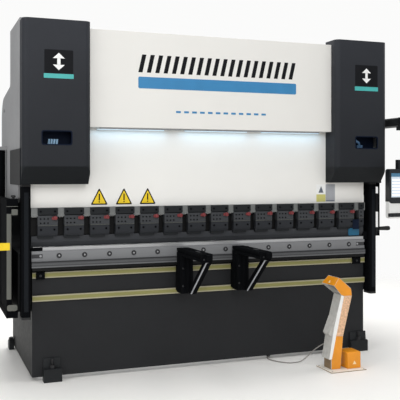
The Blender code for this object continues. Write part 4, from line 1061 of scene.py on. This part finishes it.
def pedal_console():
    front, rear = -0.468, -0.353
    column = Shape().prism(round_corners(COLUMN_OUTLINE, 8), (front, rear), "XZ")
    reach = [front + 0.0005, rear - 0.0005]
    ends = [[(p.x, y, p.y) for p, y in zip(HEAD_END, pair)] for pair in (reach[:1] * 2, HEAD_REAR)]
    roots = [[(x, y, z) for x, z in HEAD_ROOT] for y in reach]
    loft(column, ends[0] + ends[1][::-1], roots[0] + roots[1][::-1])
    column.piece("console_column", "machine", "console_paint", "sheet_grey", 0.0015, ("pedal_column",))
    bracket = Shape().prism([(0.892, 0.420), (0.870, 0.420), (0.818, 0.292), (0.836, 0.268), (0.868, 0.268)],
                            (front + 0.020, rear + 0.004), "XZ")
    bracket.piece("console_switch_box", "machine", "console_paint", "sheet_grey", 0.002)
    # Brown film on the set-back face of the console's recess: painted shade.
    Shape().box((0.826 - THIN, 0.8265), (front + 0.008, rear - 0.006), (0.010, 0.085)).piece(
        "console_recess_shade_film", "machine", "console_paint", "recess_shade_tone", 0.0)
    console_films(front)
    console_end(front)
    gland = Shape().turned([(0.0135, -0.0185), (0.0135, -0.0070), (0.0115, -0.0065), (0.0105, -0.0035),
                            (0.0062, -0.0004)], CORD_ROUTE[0], "Y", 24)
    gland.piece("console_cord_gland", "machine", "console_paint", "rubber", 0.0)

    edge, top = srgb(150, 128, 100), srgb(238, 232, 222)
    carry("pedal_base_plate", graded("console_plate_paint", ((0.0, edge), (0.0055, edge), (0.0062, top),
                                                             (0.008, top)), 0.5), 0.0)
    low, high = span("pedal_base_plate")
    corners = Shape()
    for x in (low.x + 0.016, high.x - 0.016):
        for y in (low.y + 0.016, high.y - 0.016):
            corners.screw((x, y, high.z), 0.006, "Z", 0.003)
    corners.piece("plate_screws", "machine", "plate_white", "steel", 0.0)

    low, high = span("pedal_hood")
    hood = round_corners([(low.x, low.z), (high.x, low.z), (high.x, high.z, 0.014), (low.x, high.z, 0.014)], 6)
    cavity = Shape().box((low.x + 0.007, high.x - 0.007), (low.y + 0.007, high.y + 0.05), (-0.01, high.z - 0.009))
    Shape().prism(hood, (low.y, high.y), "XZ").piece("hood_shell", "machine", "hood_orange", "orange", 0.004,
                                                     ("pedal_hood",), less=cavity)
    middle = (low.x + high.x) / 2 + 0.003
    Shape().prism([(middle - 0.017, 0.042), (middle + 0.017, 0.042), (middle, 0.071)],
                  (low.y - THIN, low.y + 0.001), "XZ").piece(
        "hood_mark", "machine", "hood_orange", "mark_cream", 0.0)

    low, high = span("foot_pedal")
    tread = Shape().prism(rounded((low.x + 0.0005, high.x - 0.0005), (low.y + 0.010, high.y), 0.008),
                          (0.044, 0.0535), "XY")
    tread.rod(((low.x + high.x) / 2, -0.465, 0.044), 0.009, high.x - low.x - 0.001, "X", 28)
    for k in range(11):
        y = -0.446 + k * 0.011
        tread.box((low.x + 0.008, high.x - 0.008), (y, y + 0.005), (0.0530, 0.0558))
    tread.piece("pedal_tread", "foot_pedal", "pedal_black", "black", 0.0008, ("foot_pedal",))


# ---- feet, hydraulics and what is behind ----------------------------------------
def feet():
    for name in ("foot_front_left", "foot_front_right", "foot_rear_left", "foot_rear_right"):
        low, high = span(name)
        middle = (low + high) / 2
        front = "front" in name
        top, rise = (0.100, 0.075) if front else (0.075, 0.035)
        body = Shape().prism(round_corners([(low.x, 0.0), (high.x, 0.0), (high.x, top, 0.010),
                                            (low.x, top, 0.010)], 4), (low.y, high.y), "XZ")
        bracket = (low.x + 0.004, high.x - 0.004)
        peak = top + rise - 0.004
        if front:
            body.prism([(high.y - 0.018, 0.090), (high.y, 0.090), (high.y, peak), (high.y - 0.010, peak)], bracket)
        else:
            body.box(bracket, (low.y + 0.031, low.y + 0.051), (top - 0.010, peak))
        body.piece(name + "_block", "machine", "foot_black", "black", 0.003, (name,))
        bolt = Shape().turned([(0.021, top + 0.0005), (0.021, top + 0.024), (0.0125, top + 0.026),
                               (0.0120, top + rise - 0.007), (0.009, top + rise - 0.003)],
                              (middle.x, middle.y, 0.0), "Z", 6)
        bolt.piece(name + "_jack_screw", "machine", "foot_black", "bolt", 0.0008)


def cylinders():
    for side, sign in SIDES:
        node = side + "_cylinder"
        x, y = sign * 1.250, 0.058
        barrel = Shape().turned([(0.110, 1.9705), (0.115, 1.976), (0.115, 2.170), (0.121, 2.176), (0.121, 2.304),
                                 (0.115, 2.310), (0.115, 2.486), (0.119, 2.490), (0.119, 2.516), (0.114, 2.520)],
                                (x, y, 0.0), "Z", 64)
        bore = Shape().rod((x, y, 2.0), 0.0455, 0.20, "Z", 40)
        barrel.piece(side + "_barrel", "machine", "hydraulic_paint", "hydraulic", 0.001, (node,), less=bore)
        flange = Shape().box(sorted((sign * 1.200, sign * 1.3995)), (-0.039, 0.179), (2.181, 2.299))
        room = Shape().rod((x, y, 2.240), 0.100, 0.200, "Z", 48)
        flange.piece(side + "_cylinder_flange", "machine", "hydraulic_paint", "hydraulic", 0.004, less=room)
        bolts = Shape()
        for by in (-0.015, 0.155):
            for bz in (2.205, 2.275):
                bolts.screw((sign * 1.215, -0.039 if by < 0 else 0.179, bz), 0.010, "-Y" if by < 0 else "Y")
        block = Shape().box((x - 0.068, x + 0.068), (-0.028, 0.108), (2.512, 2.629))
        block.piece(side + "_valve_block", "machine", "hydraulic_paint", "steel", 0.003)
        solenoid = Shape()
        for dz in (0.028, 0.082):
            solenoid.turned([(0.022, 0.0), (0.022, 0.060), (0.012, 0.066), (0.012, 0.080)], (x, 0.108, 2.512 + dz), "Y", 28)
        solenoid.piece(side + "_solenoids", "machine", "hydraulic_paint", "rubber", 0.001)
        bolts.piece(side + "_cylinder_bolts", "machine", "hydraulic_paint", "bolt", 0.0)
        low, high = span(side + "_piston_rod")
        rod = Shape().turned([(0.0520, low.z), (0.0520, low.z + 0.026), (0.0450, low.z + 0.029), (0.0450, 2.090),
                              (0.0695, 2.091), (0.0695, 2.139)], (x, y, 0.0), "Z", 64)
        rod.piece(side + "_rod", "ram", "rod_chrome", "chrome", 0.0008, (side + "_piston_rod",))


def hydraulics():
    low, high = span("hydraulic_tank")
    shelf = low.z
    tank = Shape().box((-0.560, 0.500), (0.650, 1.150), (shelf, 1.9500))
    tank.piece("oil_tank", "machine", "hydraulic_paint", "hydraulic", 0.006, ("hydraulic_tank",))
    Shape().box((low.x, 0.520), (0.630, 1.170), (1.9500, 1.966)).piece(
        "tank_lid", "machine", "hydraulic_paint", "hydraulic", 0.002)
    screws = Shape()
    for k in range(9):
        for y in (0.642, 1.158):
            screws.screw((-0.560 + k * 0.130, y, 1.966), 0.006, "Z")
    screws.piece("tank_lid_screws", "machine", "hydraulic_paint", "steel", 0.0)
    filler = Shape().turned([(0.040, 1.966), (0.040, 1.978), (0.034, 1.982), (0.034, 2.004), (0.038, 2.006),
                             (0.038, 2.012), (0.030, 2.015)], (0.380, 0.780, 0.0), "Z", 40)
    filler.turned([(0.050, 1.966), (0.050, 1.986), (0.044, 1.990), (0.044, 2.022), (0.048, 2.024), (0.046, 2.034)],
                  (0.180, 0.780, 0.0), "Z", 40)
    filler.piece("filler_and_filter", "machine", "hydraulic_paint", "steel", 0.0008)
    gauge = Shape().prism(rounded((-0.460, -0.430), (1.700, 1.860), 0.010), (1.149, 1.162), "XZ")
    gauge.piece("oil_level_gauge", "machine", "hydraulic_paint", "steel", 0.001)
    Shape().box((-0.452, -0.438), (1.1615, 1.1630), (1.715, 1.845)).piece(
        "oil_level_glass", "machine", "hydraulic_paint", "brass", 0.0005)
    drain = Shape().turned([(0.018, 1.149), (0.018, 1.165), (0.012, 1.168), (0.012, 1.180)], (-0.300, 0.0, 1.640), "Y", 6)
    drain.piece("tank_drain_plug", "machine", "hydraulic_paint", "brass", 0.0005)

    body = Shape().turned([(0.060, 0.628), (0.104, 0.632), (0.108, 0.640), (0.108, 0.936), (0.104, 0.944)],
                          (0.0, 0.900, 1.750), "X", 64)
    for k in range(28):
        turn = 2 * math.pi * k / 28
        if math.sin(turn) > 0.80 or math.sin(turn) < -0.70:
            continue
        across, up = math.cos(turn), math.sin(turn)
        middle = Vector((0.0, 0.900 + across * 0.111, 1.750 + up * 0.111))
        side = Vector((0.0, -up, across)) * 0.0016
        out = Vector((0.0, across, up)) * 0.0065
        fin = [middle - side - out, middle + side - out, middle + side + out, middle - side + out]
        body.prism([(p.y, p.z) for p in fin], (0.655, 0.925))
    body.piece("motor_body", "machine", "motor_paint", "motor", 0.0006, ("pump_motor",))
    cowl = Shape().turned([(0.1165, 0.940), (0.1180, 0.944), (0.1180, 1.012), (0.110, 1.020), (0.030, 1.020)],
                          (0.0, 0.900, 1.750), "X", 64)
    slots = Shape()
    for k in range(8):
        turn = math.pi * k / 4 + 0.2
        centre = Vector((1.015, 0.900 + math.cos(turn) * 0.070, 1.750 + math.sin(turn) * 0.070))
        slots.rod(centre, 0.016, 0.030, "X", 20)
    cowl.piece("motor_fan_cowl", "machine", "motor_paint", "motor", 0.001, less=slots)
    feet_and_box = Shape().box((0.660, 0.920), (0.801, 0.999), (shelf, shelf + 0.012))
    for x in (0.680, 0.880):
        feet_and_box.box((x, x + 0.030), (0.830, 0.970), (shelf + 0.010, 1.670))
    feet_and_box.box((0.721, 0.839), (0.846, 0.954), (1.845, 1.899))
    feet_and_box.piece("motor_feet_and_terminal_box", "machine", "motor_paint", "motor", 0.003)
    pump = Shape().turned([(0.050, 0.546), (0.055, 0.550), (0.055, 0.600), (0.070, 0.604), (0.070, 0.632)],
                          (0.0, 0.900, 1.750), "X", 48)
    pump.piece("gear_pump", "machine", "motor_paint", "steel", 0.001)


def pipes():
    """Steel pipes from the pump and tank to the valve block on each cylinder."""
    routes = []
    for side, sign in SIDES:
        for k in range(2):
            x0, x1 = sign * (0.10 + 0.05 * k), sign * (1.225 + 0.05 * k)
            y0, z0 = 0.560 - 0.0 * k, 1.880 + 0.035 * k
            routes.append(smooth_route([(x0, 0.660, z0), (x0, y0, z0), (x0 + sign * 0.06, y0 - 0.02, z0 + 0.005),
                                        (sign * 0.70, y0 - 0.02, z0 + 0.005), (x1 - sign * 0.10, y0 - 0.02, z0 + 0.005),
                                        (x1, y0 - 0.06, z0 + 0.03), (x1, y0 - 0.16, 2.20 + 0.04 * k),
                                        (x1, 0.240, 2.50), (x1, 0.160, 2.565), (x1, 0.106, 2.570)], 10))
    line_piece("pressure_pipes", "machine", "steel", routes, 0.009)
    suction = smooth_route([(0.575, 0.900, 1.790), (0.560, 0.860, 1.880), (0.540, 0.780, 1.990), (0.470, 0.720, 2.010),
                            (0.430, 0.700, 1.985), (0.425, 0.700, 1.966)], 10)
    line_piece("pump_suction_hose", "machine", "rubber", [suction], 0.016)
    nuts = Shape()
    for side, sign in SIDES:
        for k in range(2):
            nuts.turned([(0.015, 0.1085), (0.015, 0.128)], (sign * (1.225 + 0.05 * k), 0.0, 2.570), "Y", 6)
            nuts.turned([(0.015, 0.630), (0.015, 0.650)], (sign * (0.10 + 0.05 * k), 0.0, 1.880 + 0.035 * k), "Y", 6)
    nuts.piece("pipe_nuts", "machine", "hydraulic_paint", "steel", 0.0005)


def cabinet():
    low, high = span("electrical_cabinet")
    carry("electrical_cabinet", "cabinet", 0.004)
    door_x = high.x
    seam = Shape()
    for z in (0.660, 1.440):
        seam.box((door_x - 0.0002, door_x + 0.0012), (0.760, 1.210), (z, z + 0.004))
    for y in (0.758, 1.208):
        seam.box((door_x - 0.0002, door_x + 0.0012), (y, y + 0.004), (0.660, 1.444))
    seam.piece("cabinet_door_seam", "machine", "cabinet_paint", "rubber", 0.0)
    vents = Shape()
    for k in range(9):
        vents.box((door_x - 0.0002, door_x + 0.0025), (0.860, 1.110), (0.720 + k * 0.016, 0.726 + k * 0.016))
    vents.piece("cabinet_louvres", "machine", "cabinet_paint", "label_grey", 0.0008)
    handle = Shape().prism(rounded((0.790, 0.816), (1.000, 1.130), 0.010), (door_x, door_x + 0.008))
    handle.prism(rounded((0.796, 0.810), (1.015, 1.115), 0.006), (door_x + 0.007, door_x + 0.022))
    handle.piece("cabinet_handle", "machine", "cabinet_paint", "black", 0.002)
    switch = Shape().turned([(0.034, 0.0), (0.034, 0.004), (0.020, 0.006), (0.020, 0.018)], (door_x, 1.120, 1.360), "X", 40)
    switch.piece("main_switch_plate", "machine", "cabinet_paint", "yellow", 0.0)
    lever = Shape().box((door_x + 0.012, door_x + 0.026), (1.113, 1.127), (1.332, 1.388))
    lever.piece("main_switch_lever", "machine", "cabinet_paint", "estop_red", 0.003)
    hinges = Shape()
    for z in (0.760, 1.330):
        hinges.rod((door_x + 0.001, 1.236, z), 0.007, 0.060, "Z", 20)
    hinges.piece("cabinet_hinges", "machine", "cabinet_paint", "steel", 0.0005)


def back_gauge():
    carry("gauge_guide_frame", "frame_dark", 0.002)
    carry("gauge_carriage", "aluminium", 0.002)
    carry("gauge_beam", "aluminium", 0.002)
    track, wagons = Shape(), Shape()
    for side, sign in SIDES:
        x = sorted((sign * 1.206, sign * 1.226))
        track.box(x, (0.180, 0.970), (0.842, 0.858))
        track.box((x[0] - 0.004, x[1] + 0.004), (0.180, 0.970), (0.836, 0.842))
        wagons.box((x[0] - 0.012, x[1] + 0.010) if sign > 0 else (x[0] - 0.010, x[1] + 0.012), (0.540, 0.610),
                   (0.8595, 0.8795))
    for x in (-1.190, 1.190):
        track.box((x - 0.020, x + 0.020), (0.180, 0.970), (0.8250, 0.8365))
    track.piece("gauge_tracks", "machine", "gauge_dark", "steel", 0.001)
    wagons.piece("gauge_wagons", "gauge_carriage", "gauge_aluminium", "steel", 0.001)
    spindle = Shape()
    for x in (-0.960, 0.960):
        spindle.turned([(0.010, 0.165), (0.010, 0.175), (0.0125, 0.176), (0.0125, 0.900), (0.009, 0.901), (0.009, 0.938)],
                       (x, 0.0, 0.850), "Y", 28)
    spindle.piece("gauge_ball_screws", "machine", "gauge_dark", "steel", 0.0)
    drive = Shape()
    for x in (-0.960, 0.960):
        drive.box((x - 0.030, x + 0.030), (0.902, 0.9395), (0.815, 0.890))
    drive.box((0.900, 1.020), (1.001, 1.090), (0.800, 0.900))
    drive.piece("gauge_drive_blocks", "machine", "gauge_dark", "motor", 0.002)
    slots = Shape()
    for z in (1.002, 1.024):
        slots.box((-1.225, 1.225), (0.4788, 0.4802), (z, z + 0.006))
    slots.piece("gauge_beam_slots", "gauge_beam", "gauge_aluminium", "ink", 0.0)
    for side in ("left", "right"):
        node = "gauge_finger_" + side
        low, high = span(node)
        x = (low.x + high.x) / 2
        finger = Shape().box((x - 0.045, x + 0.045), (0.460, 0.535), (1.0455, 1.085))
        finger.prism([(x - 0.030, 0.462), (x + 0.030, 0.462), (x + 0.024, 0.262), (x - 0.024, 0.262)][::-1],
                     (1.050, 1.078), "XY")
        finger.piece(node + "_body", node, "gauge_aluminium", "aluminium", 0.002, (node,))
        tip = Shape().prism([(0.230, 1.040), (0.242, 1.028), (0.275, 1.028), (0.275, 1.074), (0.230, 1.074)],
                            (x - 0.025, x + 0.025))
        tip.piece(node + "_stop", node, "gauge_aluminium", "steel", 0.0012)
        screws = Shape()
        for dx in (-0.028, 0.028):
            screws.screw((x + dx, 0.500, 1.085), 0.007, "Z")
        screws.screw((x, 0.300, 1.078), 0.006, "Z")
        knob = screws.turned([(0.006, 0.535), (0.006, 0.545), (0.014, 0.547), (0.015, 0.562), (0.011, 0.566)],
                             (x, 0.0, 1.066), "Y", 24)
        knob.piece(node + "_screws", node, "gauge_aluminium", "bolt", 0.0)


make_camera()
pedal_cord()
make_world()
make_floor()
area_light("key", (-1.8, -7.0, 4.6), (0.0, 0.0, 1.2), 4.0, 178)
area_light("fill", (-5.5, -2.5, 3.5), (-1.5, 0.0, 1.2), 3.0, 80)
area_light("top", (0.0, 0.5, 6.5), (0.0, 0.2, 0.0), 5.0, 260)
area_light("side", (6.0, -0.5, 4.0), (2.4, 0.3, 0.0), 3.0, 70)
area_light("back", (1.0, 6.5, 4.0), (0.0, 0.0, 1.2), 4.0, 200)

frame_and_ram()
cover_details()
panel_artwork()
ram_labels()
work_light()
clamps()
clamp_levers()
tools_and_holder()
rails()
for arm in ("left_support_arm", "right_support_arm"):
    support_arm(arm)
for side, sign in SIDES:
    light_curtain(side, sign)
left_guard()
right_guard()
control()
pedal_console()
feet()
cylinders()
hydraulics()
pipes()
cabinet()
back_gauge()
